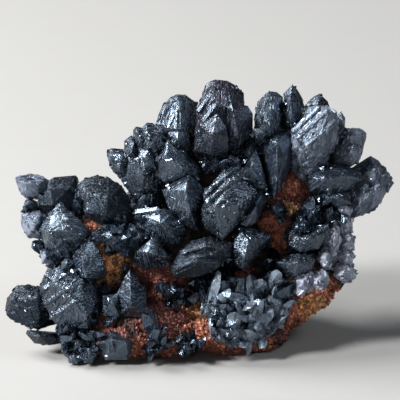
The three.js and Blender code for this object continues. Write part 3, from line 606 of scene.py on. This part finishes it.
class Graph:
    """A material's nodes, built from expressions."""

    def __init__(self, name):
        self.material = bpy.data.materials.new(name)
        self.material.use_nodes = True
        self.tree = self.material.node_tree
        self.tree.nodes.clear()

    def add(self, kind, settings=None, sockets=None, output=0):
        """Adds a node, its settings first, then its sockets' values or links. Returns one output."""
        node = self.tree.nodes.new(kind)
        for key, value in (settings or {}).items():
            setattr(node, key, value)
        for key, value in (sockets or {}).items():
            if isinstance(value, Wire):
                self.tree.links.new(value.socket, node.inputs[key])
            else:
                node.inputs[key].default_value = value
        return Wire(self, node.outputs[output]) if len(node.outputs) else None

    def clamped(self, value, low, high):
        """value as it runs from low to high, turned into 0 to 1."""
        return self.add(
            "ShaderNodeMapRange",
            {"interpolation_type": "SMOOTHSTEP"},
            {"Value": value, "From Min": low, "From Max": high},
        )

    def mix(self, share, first, second):
        """The colour between first and second."""
        return self.add(
            "ShaderNodeMix",
            {"data_type": "RGBA", "clamp_factor": True},
            {0: share, 6: first, 7: second},
            output=2,
        )

    def noise(self, vector, scale, detail=2.0, roughness=0.5):
        """Cloudy noise from about 0.3 to 0.7."""
        sockets = {"Vector": vector, "Scale": scale, "Detail": detail, "Roughness": roughness}
        return self.add("ShaderNodeTexNoise", {}, sockets)

    def scaled(self, vector, by):
        """A vector with each part multiplied."""
        return self.add("ShaderNodeVectorMath", {"operation": "MULTIPLY"}, {0: vector, 1: by})

    def place(self):
        """The place on the specimen, in millimetres."""
        return self.scaled(self.add("ShaderNodeTexCoord", output=3), (1 / MM,) * 3)

    def value(self, name):
        """A number stored on the mesh."""
        return self.add("ShaderNodeAttribute", {"attribute_name": name}, output=2)

    def finish(self, surface, bump, height, distance, extra=None):
        """The shader itself, from the sockets that vary and the ones that don't."""
        normal = self.add("ShaderNodeBump", {}, {"Strength": bump, "Distance": distance, "Height": height})
        shader = self.add("ShaderNodeBsdfPrincipled", {}, {**surface, "Normal": normal, **(extra or {})})
        self.add("ShaderNodeOutputMaterial", {}, {"Surface": shader})
        return self.material


def colour(values):
    """A colour property as a shader colour."""
    return (*values[:3], 1.0)


def limonite_colour(graph, place):
    """The colour of the limonite, and the two patterns that it follows: fine mottling and grains."""
    look = bpy.context.scene.specimen_limonite
    coarse = graph.noise(place, 0.5, 3.0, 0.6)
    fine = graph.noise(place, 2.2, 4.0, 0.7)
    grains = graph.add("ShaderNodeTexVoronoi", {"feature": "F1"}, {"Vector": place, "Scale": 1.9})
    # The base runs by noise from the dark colour, which is partly painted shade, to the plain brown.
    base = graph.mix(graph.clamped(coarse, 0.4, 0.62), colour(look.dark), colour(look.brown))
    for stain in ("maroon", "rust", "ochre"):
        share = graph.clamped(graph.value(stain) + (fine - 0.5) * 1.5 + (coarse - 0.5) * 0.8, 0.3, 0.75)
        base = graph.mix(share, base, colour(getattr(look, stain)))
    dark_gaps = graph.clamped(grains, 0.62, 0.2)
    base = graph.mix((1 - dark_gaps) * 0.5, base, colour(look.dark))
    light = graph.value("tone") * 0.9 + graph.clamped(fine, 0.3, 0.7) * 0.5 + 0.35
    base = graph.add("ShaderNodeVectorMath", {"operation": "SCALE"}, {0: base, "Scale": light})
    return base, fine, grains


GRAIN_DEPTH = 0.4 * MM


def limonite():
    """Granular limonite: near-black brown, partly its own colour and partly painted shade, stained rust,
    maroon and ochre.
    """
    graph = Graph("limonite_granular")
    base, fine, grains = limonite_colour(graph, graph.place())
    surface = {"Base Color": base, "Roughness": graph.clamped(fine, 0.2, 0.6) * 0.25 + 0.6}
    return graph.finish(surface, 0.9, fine * 0.7 - grains * 0.5, GRAIN_DEPTH)


# How a crystal's surface looks: the colours of its dark and light parts, how far the light part goes
# towards its colour, how dusty, rough and ribbed it is, how strongly it reflects where that isn't the
# common value, and whether limonite shows through.
Finish = namedtuple("Finish", "deep body share dust rough relief ior bare", defaults=(1.0, None, False))
FINISHES = {
    "dark": Finish("black", "slate", 0.5, 0.3, 0.33, relief=0.65),
    "shaded": Finish("black", "slate", 0.8, 0.08, 0.42, ior=1.5),
    "slate": Finish("black", "slate", 1.0, 0.5, 0.35, relief=0.65),
    "satin_dark": Finish("black", "slate", 1.0, 0.2, 0.36, relief=0.4),
    "satin_slate": Finish("black", "slate", 1.4, 0.6, 0.35, relief=0.4),
    "plum": Finish("black", "plum", 1.0, 0.14, 0.34, relief=0.65, ior=1.75),
    "crust": Finish("lilac", "frost", 1.0, 0.8, 0.55, bare=True),
    "pale": Finish("slate", "lilac", 0.8, 1.0, 0.37, relief=1.1),
    "druse": Finish("slate", "dusty", 0.8, 1.0, 0.32, bare=True),
    "glassy": Finish("black", "slate", 1.0, 0.2, 0.24, relief=0.3),
    "frosted": Finish("slate", "dusty", 1.1, 0.9, 0.27, relief=0.6),
}
RIB_DEPTH = 0.32 * MM
REFLECTION_TINT = (0.62, 0.79, 1.0, 1.0)


def descloizite(name, finish):
    """Near-black crystal with a slate sheen, fine ribs, dusty patches and a highlight painted along its
    edges.
    """
    look = bpy.context.scene.specimen_crystals
    black, light = np.array(look.black), np.array(getattr(look, finish.body))
    light = black + (light - black) * finish.share
    graph = Graph(name)
    place = graph.place()
    grain = graph.add("ShaderNodeAttribute", {"attribute_name": "grain"}, output=1)
    ribs = graph.noise(graph.scaled(grain, (1.9, 0.2, 1)), 1.0, 2.0, 0.6)
    threads = graph.noise(graph.scaled(grain, (4.4, 0.55, 1)), 1.0, 2.0, 0.65)
    fine = graph.noise(place, 1.5, 3.0, 0.6)
    specks = graph.noise(place, 3.4, 3.0, 0.7)
    cloud = graph.noise(place, 0.42, 3.0, 0.55)
    tone = graph.value("tone")
    edge = graph.value("edge")
    depth = graph.clamped(cloud * 0.6 + tone * 0.3 + fine * 0.3, 0.42, 0.82)
    body = graph.mix(depth, colour(getattr(look, finish.deep)), colour(light))
    film = graph.clamped(cloud * 0.7 + fine * 0.5 + tone * 0.12, 0.52, 0.78)
    dust = graph.clamped(threads * 0.9 + specks * 0.2, 0.56, 0.68) * (0.2 + film * 0.8)
    body = graph.mix(dust * finish.dust, body, colour(look.dusty))
    # A highlight painted along the edges, broken up by specks.
    body = graph.mix(edge * graph.clamped(specks, 0.46, 0.66) * 0.4, body, colour(look.edge_highlight))
    glossy = graph.clamped(tone, 0.5, 0.9) * graph.clamped(edge, 0.1, 0.2)
    rough = finish.rough + 0.2 * (dust - 0.4) - 0.16 * glossy
    height = (ribs * 1.1 + threads * 0.4 + fine * 0.08) * (0.4 + film * 0.6) * finish.relief
    height = height * (1 - glossy * 0.75)
    if finish.bare:
        bare = graph.clamped(graph.value("bare") + (fine - 0.5) * 1.2, 0.35, 0.6)
        body = graph.mix(bare, body, limonite_colour(graph, place)[0])
        rough = rough + bare * 0.3
    surface = {"Base Color": body, "Roughness": rough}
    plain = {"IOR": finish.ior or look.ior, "Specular Tint": REFLECTION_TINT}
    return graph.finish(surface, look.fine_bump, height, RIB_DEPTH, plain)


def crystal_material(finish):
    """The material of one of the finishes, made once."""
    name = "descloizite_" + finish
    return bpy.data.materials.get(name) or descloizite(name, FINISHES[finish])


def grown(nodes):
    """The grown pieces of the nodes."""
    return [bpy.data.objects[node + "_grown"] for node in nodes]


def grow_crystals(nodes):
    """Replaces each node's solid with its detailed crystal."""
    look = bpy.context.scene.specimen_crystals
    for node, (finish, growth) in nodes.items():
        fineness = look.back_fineness if node in BACK else look.fineness
        points, triangles, values, tone, grain = crystal_shape(node, growth, fineness / MM)
        if node in DRUSES:
            bare = np.clip(1.6 - 1.1 * away_from(BARE_PATCH, points).min(axis=1), 0, 1)
            values = {**values, **stain_values(points), "bare": bare}
        piece = make_piece(node + "_grown", points, triangles, values, tone, grain)
        piece.data.materials.append(crystal_material(finish))
        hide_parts(node)


# Lumps and grains on the limonite: how high each kind stands, its size in millimetres and its seed. They
# are given for a lump height of LUMP_HEIGHT millimetres.
LUMPS = ((0.75, 5.2, 11), (0.5, 2.4, 12), (0.34, 1.15, 13), (0.2, 0.6, 14))
LUMP_HEIGHT = 0.8
RELAXING_ROUNDS = 6


def relaxed(points, triangles):
    """The points with the creases between lumps evened out."""
    edges, _ = edges_of(triangles)
    count = np.bincount(edges.ravel(), minlength=len(points))[:, None]
    for _ in range(RELAXING_ROUNDS):
        total = np.zeros_like(points)
        np.add.at(total, edges[:, 0], points[edges[:, 1]])
        np.add.at(total, edges[:, 1], points[edges[:, 0]])
        points = points * 0.4 + total / count * 0.6
    return points


def granular_surface(points, triangles):
    """The limonite with lumps, grains and pits, flat underneath."""
    look = bpy.context.scene.specimen_limonite
    flat = points[:, 2] < 0.02
    points = relaxed(points, triangles)
    points[flat, 2] = 0
    outward = point_normals(points, triangles)
    lift = sum(height * noise(points, size, seed) for height, size, seed in LUMPS)
    pits = np.maximum(0, noise(points, 1.7, 15) - 0.25) * 1.1
    lift = (lift - pits) * look.lump_height / MM / LUMP_HEIGHT
    lift += look.swell / MM * eased(1, 0.2, away_from(SWELL, points).min(axis=1))
    moved = points + outward * lift[:, None]
    underside = 0.12 * np.maximum(0, noise(points, 1.2, 16))
    moved[:, 2] = np.where(flat, underside, np.maximum(moved[:, 2], 0))
    moved[flat, :2] = points[flat, :2]
    return moved


def stain_values(points):
    """How strongly each stain colours each point, before the finer breakup of the material."""
    front = 1 - eased(3, 8, points[:, 1])
    behind = eased(6, 11, points[:, 1]) * 0.7
    values = {}
    for stain, spots in STAINS.items():
        mean, swing, size, seed = BACK_STAINS[stain]
        placed = np.clip(1.5 - 0.95 * away_from(spots, points).min(axis=1), 0, 1) * front
        values[stain] = np.maximum(placed, behind * (mean + swing * noise(points, size, seed)))
    return values


# A small crystal's rings, as [height, half width, half depth], and half the edge that it ends in.
SMALL_CRYSTAL_RINGS = ((-0.5, 0.34, 0.3), (0.45, 0.5, 0.42), (0.85, 0.34, 0.2))
SMALL_CRYSTAL_END = 0.2


def small_crystal(axis, side, size, stretch, flat):
    """The points of a wedge-ended crystal that stands along its axis at [0, 0, 0]."""
    third = np.cross(axis, side) * flat
    points = []
    for height, wide, deep in SMALL_CRYSTAL_RINGS:
        for turn_side, turn_third in ((wide, 0), (0, deep), (-wide, 0), (0, -deep)):
            points.append(axis * height * size * stretch + (side * turn_side + third * turn_third) * size)
    for end in (SMALL_CRYSTAL_END, -SMALL_CRYSTAL_END):
        points.append(axis * size * stretch + side * end * size)
    return np.array(points)


SMALL_CRYSTAL_FACES = (
    [[0, 2, 1], [0, 3, 2]]
    + [[r + k, r + (k + 1) % 4, r + 4 + (k + 1) % 4] for r in (0, 4) for k in range(4)]
    + [[r + k, r + 4 + (k + 1) % 4, r + 4 + k] for r in (0, 4) for k in range(4)]
    + [[8, 9, 12], [9, 10, 13], [9, 13, 12], [10, 11, 13], [11, 8, 12], [11, 12, 13]]
)


def surface_of(pieces):
    """The middles, directions and areas of the pieces' polygons, in millimetres."""
    found = []
    for piece in pieces:
        polygons = piece.data.polygons
        rows = []
        for key, width in (("center", 3), ("normal", 3), ("area", 1)):
            values = np.empty(len(polygons) * width)
            polygons.foreach_get(key, values)
            rows.append(values.reshape(-1, width))
        found.append(np.hstack(rows))
    found = np.concatenate(found)
    return found[:, :3] / MM, found[:, 3:6], found[:, 6] / MM**2


def spots_on(pieces, chance, count, weigh):
    """The middles and directions of polygons picked at random by weigh(middles, directions)."""
    middles, facing, area = surface_of(pieces)
    weight = weigh(middles, facing) * area
    chosen = chance.choice(len(middles), count, p=weight / weight.sum())
    return middles[chosen], facing[chosen]


def shared_cells(pieces, size):
    """The numbers of the cubes that hold parts of two or more pieces."""
    found = [np.unique(cells(surface_of([piece])[0], size)) for piece in pieces]
    numbers, count = np.unique(np.concatenate(found), return_counts=True)
    return numbers[count > 1]


def strew_crystals(name, pieces, count, size, weigh, seed, finish, flat):
    """Small crystals on the pieces, picked at random by weigh(middles, directions)."""
    chance = np.random.default_rng(seed)
    points, triangles = [], []
    for middle, facing in zip(*spots_on(pieces, chance, count, weigh)):
        lean = unit(facing + 0.3 * OUT + 0.3 * UP + chance.normal(0, 0.4, 3))
        side = unit(np.cross(lean, chance.normal(0, 1, 3)))
        wide = size / MM * chance.uniform(0.5, 1.7)
        triangles += (np.array(SMALL_CRYSTAL_FACES) + 14 * len(points)).tolist()
        points.append(small_crystal(lean, side, wide, chance.uniform(0.9, 1.6), flat) + middle)
    points, triangles = np.concatenate(points), np.array(triangles)
    points[:, 2] = np.maximum(points[:, 2], 0)
    tone = np.repeat(chance.uniform(0, 1, count), len(SMALL_CRYSTAL_FACES))
    values = {"edge": np.zeros(len(points))}
    piece = make_piece(name, points, triangles, values, tone, points[triangles], sharp=0)
    piece.data.materials.append(crystal_material(finish))


def strew_grains(name, pieces, count, size, weigh, seed):
    """Grains of limonite on the pieces, picked at random by weigh(middles, directions)."""
    chance = np.random.default_rng(seed)
    middles, facing = spots_on(pieces, chance, count, weigh)
    shape = np.array([[1, 0, 0], [0, 1, 0], [-1, 0, 0], [0, -1, 0], [0, 0, 1], [0, 0, -1]]) / 2
    shape = shape + chance.uniform(-0.16, 0.16, (count, 6, 3))
    wide = size / MM * chance.uniform(0.5, 1.7, (count, 1, 1))
    points = (middles + facing * 0.1)[:, None] + shape * wide * chance.uniform(0.6, 1.2, (count, 1, 3))
    points[:, :, 2] = np.maximum(points[:, :, 2], 0)
    ring = [[0, 1], [1, 2], [2, 3], [3, 0]]
    faces = np.array([[a, b, 4] for a, b in ring] + [[b, a, 5] for a, b in ring])
    triangles = (faces[None] + 6 * np.arange(count)[:, None, None]).reshape(-1, 3)
    values = {stain: np.repeat(value, 6) for stain, value in stain_values(middles).items()}
    tone = np.repeat(chance.uniform(0, 1.5, count) ** 2, 8)
    grains = make_piece(name, points.reshape(-1, 3), triangles, values, tone, sharp=0)
    grains.data.materials.append(bpy.data.materials["limonite_granular"])


def colour_setting(name, description, default):
    """A colour that the user can change."""
    return bpy.props.FloatVectorProperty(
        name=name, description=description, default=default, subtype="COLOR"
    )


def length_setting(name, description, default):
    """A length in metres that the user can change."""
    return bpy.props.FloatProperty(name=name, description=description, default=default, unit="LENGTH")


def power_setting(name, description, default):
    """A light's power that the user can change."""
    return bpy.props.FloatProperty(name=name, description=description, default=default, unit="POWER")


def count_setting(name, description, default):
    """A number of pieces that the user can change."""
    return bpy.props.IntProperty(name=name, description=description, default=default, min=1)


class SpecimenCrystals(bpy.types.PropertyGroup):
    """Sizes and colours of the descloizite."""

    fineness: length_setting("Mesh Fineness", "Edge length on the crystals in front", 0.0004)
    back_fineness: length_setting("Back Fineness", "Edge length on the crystals behind", 0.0005)
    fine_bump: bpy.props.FloatProperty(
        name="Fine Bump", description="Strength of the finest ribs and mottling", default=0.9
    )
    ior: bpy.props.FloatProperty(name="IOR", description="How strongly the faces reflect", default=2.1)
    black: colour_setting("Black", "Darkest part of the faces", (0.001, 0.0015, 0.003))
    slate: colour_setting("Slate", "Slate-blue part of the faces", (0.005, 0.009, 0.018))
    plum: colour_setting("Plum", "Purple-black crystals", (0.018, 0.014, 0.024))
    lilac: colour_setting("Lilac", "Pale grey faces", (0.2, 0.22, 0.3))
    frost: colour_setting("Frost", "Palest part of the crusts", (0.55, 0.56, 0.64))
    dusty: colour_setting("Dusty", "Dusty patches", (0.2, 0.245, 0.3))
    # The colour of the highlight that is painted along the edges.
    edge_highlight: colour_setting("Edge Highlight", "Highlight painted along the edges", (0.26, 0.3, 0.35))


class SpecimenCavities(bpy.types.PropertyGroup):
    """Sizes and numbers of the small crystals and grains between the large ones."""

    crystals: count_setting("Crystals", "Small crystals on the limonite", 420)
    crystal_size: length_setting("Crystal Size", "Width of a typical small crystal", 0.0024)
    crust_crystals: count_setting("Crust Crystals", "Crystals standing on the crusts", 120)
    crust_size: length_setting("Crust Crystal Size", "Width of a typical crystal on the crusts", 0.0021)
    toe_crystals: count_setting("Toe Crystals", "Crystals standing on the low ledges in front", 60)
    toe_size: length_setting("Toe Crystal Size", "Width of a typical crystal on the ledges", 0.0014)
    seam_crystals: count_setting("Seam Crystals", "Crystals where large ones meet", 420)
    seam_size: length_setting("Seam Crystal Size", "Width of a typical crystal in a seam", 0.001)
    grains: count_setting("Grains", "Grains on the limonite", 9000)
    nuggets: count_setting("Nuggets", "Nuggets on the limonite", 70)
    patch_grains: count_setting("Patch Grains", "Grains on the limonite that the crust leaves bare", 1800)
    grain_size: length_setting("Grain Size", "Width of a typical grain", 0.0007)


class SpecimenLimonite(bpy.types.PropertyGroup):
    """Sizes and colours of the limonite."""

    fineness: length_setting("Mesh Fineness", "Edge length on the limonite", 0.0006)
    lump_height: length_setting("Lump Height", "How far the lumps and grains stand out", 0.0008)
    swell: length_setting("Swell", "How far the bare limonite swells out at the right", 0.0022)
    # The darkest limonite: partly its own blackened colour, and partly painted shade that keeps the
    # unstained limonite in front near-black, as in deep shadow.
    dark: colour_setting("Dark", "Blackened limonite, partly painted shade", (0.008, 0.006, 0.006))
    brown: colour_setting("Brown", "Plain limonite", (0.11, 0.058, 0.042))
    maroon: colour_setting("Maroon", "Red-brown stains", (0.24, 0.08, 0.064))
    rust: colour_setting("Rust", "Orange-red stains", (0.48, 0.17, 0.105))
    ochre: colour_setting("Ochre", "Golden stains", (0.86, 0.44, 0.2))


class SpecimenStage(bpy.types.PropertyGroup):
    """The floor, the lights and the camera."""

    floor: colour_setting("Floor", "Colour of the floor", (0.28, 0.28, 0.277))
    key: power_setting("Key", "Power of the main light", 9.5)
    front: power_setting("Front", "Power of the front light", 12.0)
    fill: power_setting("Fill", "Power of the fill lights", 1.2)
    sky: bpy.props.FloatProperty(name="Sky", description="Strength of the room light", default=0.02)
    view_width: length_setting("View Width", "Width that the camera takes in", 0.08)
    distance: length_setting("Distance", "From the camera to the specimen", 1.6)


class SPECIMEN_OT_limonite(bpy.types.Operator):
    """Builds the granular limonite that the crystals grew on"""

    bl_idname = "specimen.limonite"
    bl_label = "Limonite Matrix"

    def execute(self, context):
        look = context.scene.specimen_limonite
        points, triangles = solid_of("limonite_matrix")
        faces = np.zeros(len(triangles), int)
        points, triangles, _ = refined(points, triangles, faces, lambda middles: look.fineness / MM)
        points = granular_surface(points, triangles)
        values = stain_values(points)
        tone = 0.3 + 0.3 * noise(points[triangles].mean(axis=1), 0.9, 17)
        piece = make_piece("limonite_granular", points, triangles, values, tone, sharp=32)
        piece.data.materials.append(limonite())
        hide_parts("limonite_matrix")
        return {"FINISHED"}


class SPECIMEN_OT_left_arm(bpy.types.Operator):
    """Grows the crystals of the left arm"""

    bl_idname = "specimen.left_arm"
    bl_label = "Left Arm Crystals"

    def execute(self, context):
        grow_crystals(LEFT_ARM)
        return {"FINISHED"}


class SPECIMEN_OT_crest(bpy.types.Operator):
    """Grows the crown and the other crystals of the crest"""

    bl_idname = "specimen.crest"
    bl_label = "Crest Crystals"

    def execute(self, context):
        grow_crystals(CREST)
        return {"FINISHED"}


class SPECIMEN_OT_heart(bpy.types.Operator):
    """Grows the crystals in the middle of the specimen"""

    bl_idname = "specimen.heart"
    bl_label = "Heart Crystals"

    def execute(self, context):
        grow_crystals(HEART)
        return {"FINISHED"}


class SPECIMEN_OT_right(bpy.types.Operator):
    """Grows the crystals of the right side"""

    bl_idname = "specimen.right"
    bl_label = "Right Crystals"

    def execute(self, context):
        grow_crystals(RIGHT)
        return {"FINISHED"}


class SPECIMEN_OT_lower_left(bpy.types.Operator):
    """Grows the crystals at the lower left"""

    bl_idname = "specimen.lower_left"
    bl_label = "Lower Left Crystals"

    def execute(self, context):
        grow_crystals(LOWER_LEFT)
        return {"FINISHED"}


class SPECIMEN_OT_druses(bpy.types.Operator):
    """Grows the crusts of crowded crystals"""

    bl_idname = "specimen.druses"
    bl_label = "Druses"

    def execute(self, context):
        grow_crystals(DRUSES)
        return {"FINISHED"}


class SPECIMEN_OT_back(bpy.types.Operator):
    """Grows the crystals behind"""

    bl_idname = "specimen.back"
    bl_label = "Back Crystals"

    def execute(self, context):
        grow_crystals(BACK)
        return {"FINISHED"}


SEAM = 0.9  # two large crystals meet where they share a cube of this size, in millimetres


class SPECIMEN_OT_cavity_crystals(bpy.types.Operator):
    """Scatters small crystals over the limonite, the crusts and the ledges, and where large ones meet"""

    bl_idname = "specimen.cavity_crystals"
    bl_label = "Cavity Crystals"

    def execute(self, context):
        look = context.scene.specimen_cavities
        matrix = bpy.data.objects["limonite_granular"]

        def in_the_cavities(middles, facing):
            away = away_from(sum(STAINS.values(), []), middles).min(axis=1)
            gathered = away_from(CROWDS, middles).min(axis=1)
            crowded = np.maximum(0, noise(middles, 7, 41) + 0.35) * (0.25 + seen(facing))
            crowded += 4 * (gathered < 1) * seen(facing)
            return crowded * (middles[:, 2] > 2.5) * (0.02 + (away > 1.1) + (gathered < 1))

        def on_the_crust(middles, facing):
            outside = away_from(BARE_PATCH, middles).min(axis=1) > 1
            return outside * (middles[:, 2] > 1.2) * np.maximum(0.02, facing @ OUT + 0.2 * facing @ UP)

        def in_the_seams(middles, facing):
            beside = np.isin(cells(middles, SEAM), seams)
            return beside * (0.1 + seen(facing)) * (middles[:, 2] > 1.5)

        large = grown(node for group in LARGE for node in group)
        seams = shared_cells(large, SEAM)
        crust = grown(["lower_druse"])
        for name, pieces, count, size, weigh, seed, finish, flat in (
            ("cavity_crystals", [matrix], look.crystals, look.crystal_size, in_the_cavities, 5, "glassy", 1),
            ("crust_crystals", crust, look.crust_crystals, look.crust_size, on_the_crust, 6, "frosted", 0.7),
            ("toe_crystals", grown(TOES), look.toe_crystals, look.toe_size, on_the_crust, 9, "glassy", 1),
            ("seam_crystals", large, look.seam_crystals, look.seam_size, in_the_seams, 7, "glassy", 1),
        ):
            strew_crystals(name, pieces, count, size, weigh, seed, finish, flat)
        return {"FINISHED"}


NUGGET_TO_GRAIN = 3  # how many grains wide a nugget is


class SPECIMEN_OT_grains(bpy.types.Operator):
    """Strews the limonite, and the patch where it shows through the pale crust, with grains"""

    bl_idname = "specimen.grains"
    bl_label = "Limonite Grains"

    def execute(self, context):
        look = context.scene.specimen_cavities

        def over_the_matrix(middles, facing):
            stained = away_from(sum(STAINS.values(), []), middles).min(axis=1) < 1.1
            crowded = np.maximum(0, noise(middles, 3, 43) + 0.4) + 3 * stained * seen(facing)
            return (middles[:, 2] > 0.6) * (0.15 + crowded)

        def over_the_nuggets(middles, facing):
            return (away_from(NUGGETS, middles).min(axis=1) < 1) * np.maximum(0.001, seen(facing))

        def over_the_patch(middles, facing):
            return (away_from(BARE_PATCH, middles).min(axis=1) < 0.95) * (0.02 + seen(facing))

        nugget_size = look.grain_size * NUGGET_TO_GRAIN
        matrix = bpy.data.objects["limonite_granular"]
        crusts = grown(["lilac_druse", "lower_druse"])
        strew_grains("limonite_grains", [matrix], look.grains, look.grain_size, over_the_matrix, 8)
        strew_grains("limonite_nuggets", [matrix], look.nuggets, nugget_size, over_the_nuggets, 10)
        strew_grains("patch_grains", crusts, look.patch_grains, look.grain_size, over_the_patch, 9)
        return {"FINISHED"}


class SPECIMEN_OT_stage(bpy.types.Operator):
    """Sets up the pale floor, the studio lights and the camera"""

    bl_idname = "specimen.stage"
    bl_label = "Studio Stage"

    def execute(self, context):
        look = context.scene.specimen_stage
        graph = Graph("pale_floor")
        speckle = graph.noise(graph.place(), 0.15, 2.0)
        tone = graph.mix(speckle, colour(look.floor), colour([part * 0.97 for part in look.floor]))
        floor_material = graph.finish({"Base Color": tone, "Roughness": 0.9}, 0.05, speckle, 0.0001)
        mesh = bpy.data.meshes.new("floor")
        reach = 3
        corners = [(-reach, -reach, 0), (reach, -reach, 0), (reach, reach, 0), (-reach, reach, 0)]
        mesh.from_pydata(corners, [], [(0, 1, 2, 3)])
        floor = bpy.data.objects.new("floor", mesh)
        floor.data.materials.append(floor_material)
        context.scene.collection.objects.link(floor)

        target = AIM * MM
        lamps = [  # each with its place, size, power and tint
            ("key_light", (-0.42, 0.22, 0.55), 0.34, look.key, (1.0, 0.99, 0.97)),
            ("front_light", (-0.58, -0.24, 0.46), 0.2, look.front, (1.0, 0.99, 0.98)),
            ("low_light", (-0.1, -0.75, 0.2), 0.24, look.fill * 0.4, (1.0, 1.0, 1.0)),
            ("side_light", (0.46, -0.1, 0.48), 0.24, look.fill, (0.9, 0.95, 1.0)),
        ]
        for name, place, size, power, tint in lamps:
            light = bpy.data.lights.new(name, "AREA")
            light.shape = "DISK"
            light.size = size
            light.energy = power
            light.color = tint
            lamp = bpy.data.objects.new(name, light)
            lamp.location = place
            lamp.rotation_euler = (Vector(target) - lamp.location).to_track_quat("-Z", "Y").to_euler()
            context.scene.collection.objects.link(lamp)

        world = bpy.data.worlds.new("room")
        world.use_nodes = True
        world.node_tree.nodes["Background"].inputs["Color"].default_value = (0.9, 0.94, 1.0, 1.0)
        world.node_tree.nodes["Background"].inputs["Strength"].default_value = look.sky
        context.scene.world = world

        camera = bpy.data.cameras.new("camera")
        camera.lens = camera.sensor_width * look.distance / look.view_width
        camera.clip_start, camera.clip_end = 0.01, 20
        seat = bpy.data.objects.new("camera", camera)
        seat.location = target + OUT * look.distance
        seat.rotation_euler = Vector(-OUT).to_track_quat("-Z", "Y").to_euler()
        context.scene.collection.objects.link(seat)
        context.scene.camera = seat
        context.scene.view_settings.view_transform = "Standard"
        return {"FINISHED"}


OPERATORS = [
    SPECIMEN_OT_limonite,
    SPECIMEN_OT_left_arm,
    SPECIMEN_OT_crest,
    SPECIMEN_OT_heart,
    SPECIMEN_OT_right,
    SPECIMEN_OT_lower_left,
    SPECIMEN_OT_druses,
    SPECIMEN_OT_back,
    SPECIMEN_OT_cavity_crystals,
    SPECIMEN_OT_grains,
    SPECIMEN_OT_stage,
]
SETTINGS = {
    "specimen_crystals": SpecimenCrystals,
    "specimen_cavities": SpecimenCavities,
    "specimen_limonite": SpecimenLimonite,
    "specimen_stage": SpecimenStage,
}


class SPECIMEN_PT_panel(bpy.types.Panel):
    """Lists the settings and the pieces of the specimen"""

    bl_idname = "SPECIMEN_PT_panel"
    bl_label = "Descloizite Specimen"
    bl_space_type = "VIEW_3D"
    bl_region_type = "UI"
    bl_category = "Specimen"

    def draw(self, context):
        for name, group in SETTINGS.items():
            box = self.layout.box()
            for key in group.__annotations__:
                box.prop(getattr(context.scene, name), key)
        for operator in OPERATORS:
            self.layout.operator(operator.bl_idname)


def register():
    for group in SETTINGS.values():
        bpy.utils.register_class(group)
    for name, group in SETTINGS.items():
        setattr(bpy.types.Scene, name, bpy.props.PointerProperty(type=group))
    for operator in OPERATORS:
        bpy.utils.register_class(operator)
    bpy.utils.register_class(SPECIMEN_PT_panel)


def unregister():
    bpy.utils.unregister_class(SPECIMEN_PT_panel)
    for operator in reversed(OPERATORS):
        bpy.utils.unregister_class(operator)
    for name, group in SETTINGS.items():
        delattr(bpy.types.Scene, name)
        bpy.utils.unregister_class(group)


def main():
    register()
    for operator in OPERATORS:
        group, name = operator.bl_idname.split(".")
        getattr(getattr(bpy.ops, group), name)()


if __name__ == "__main__":
    main()
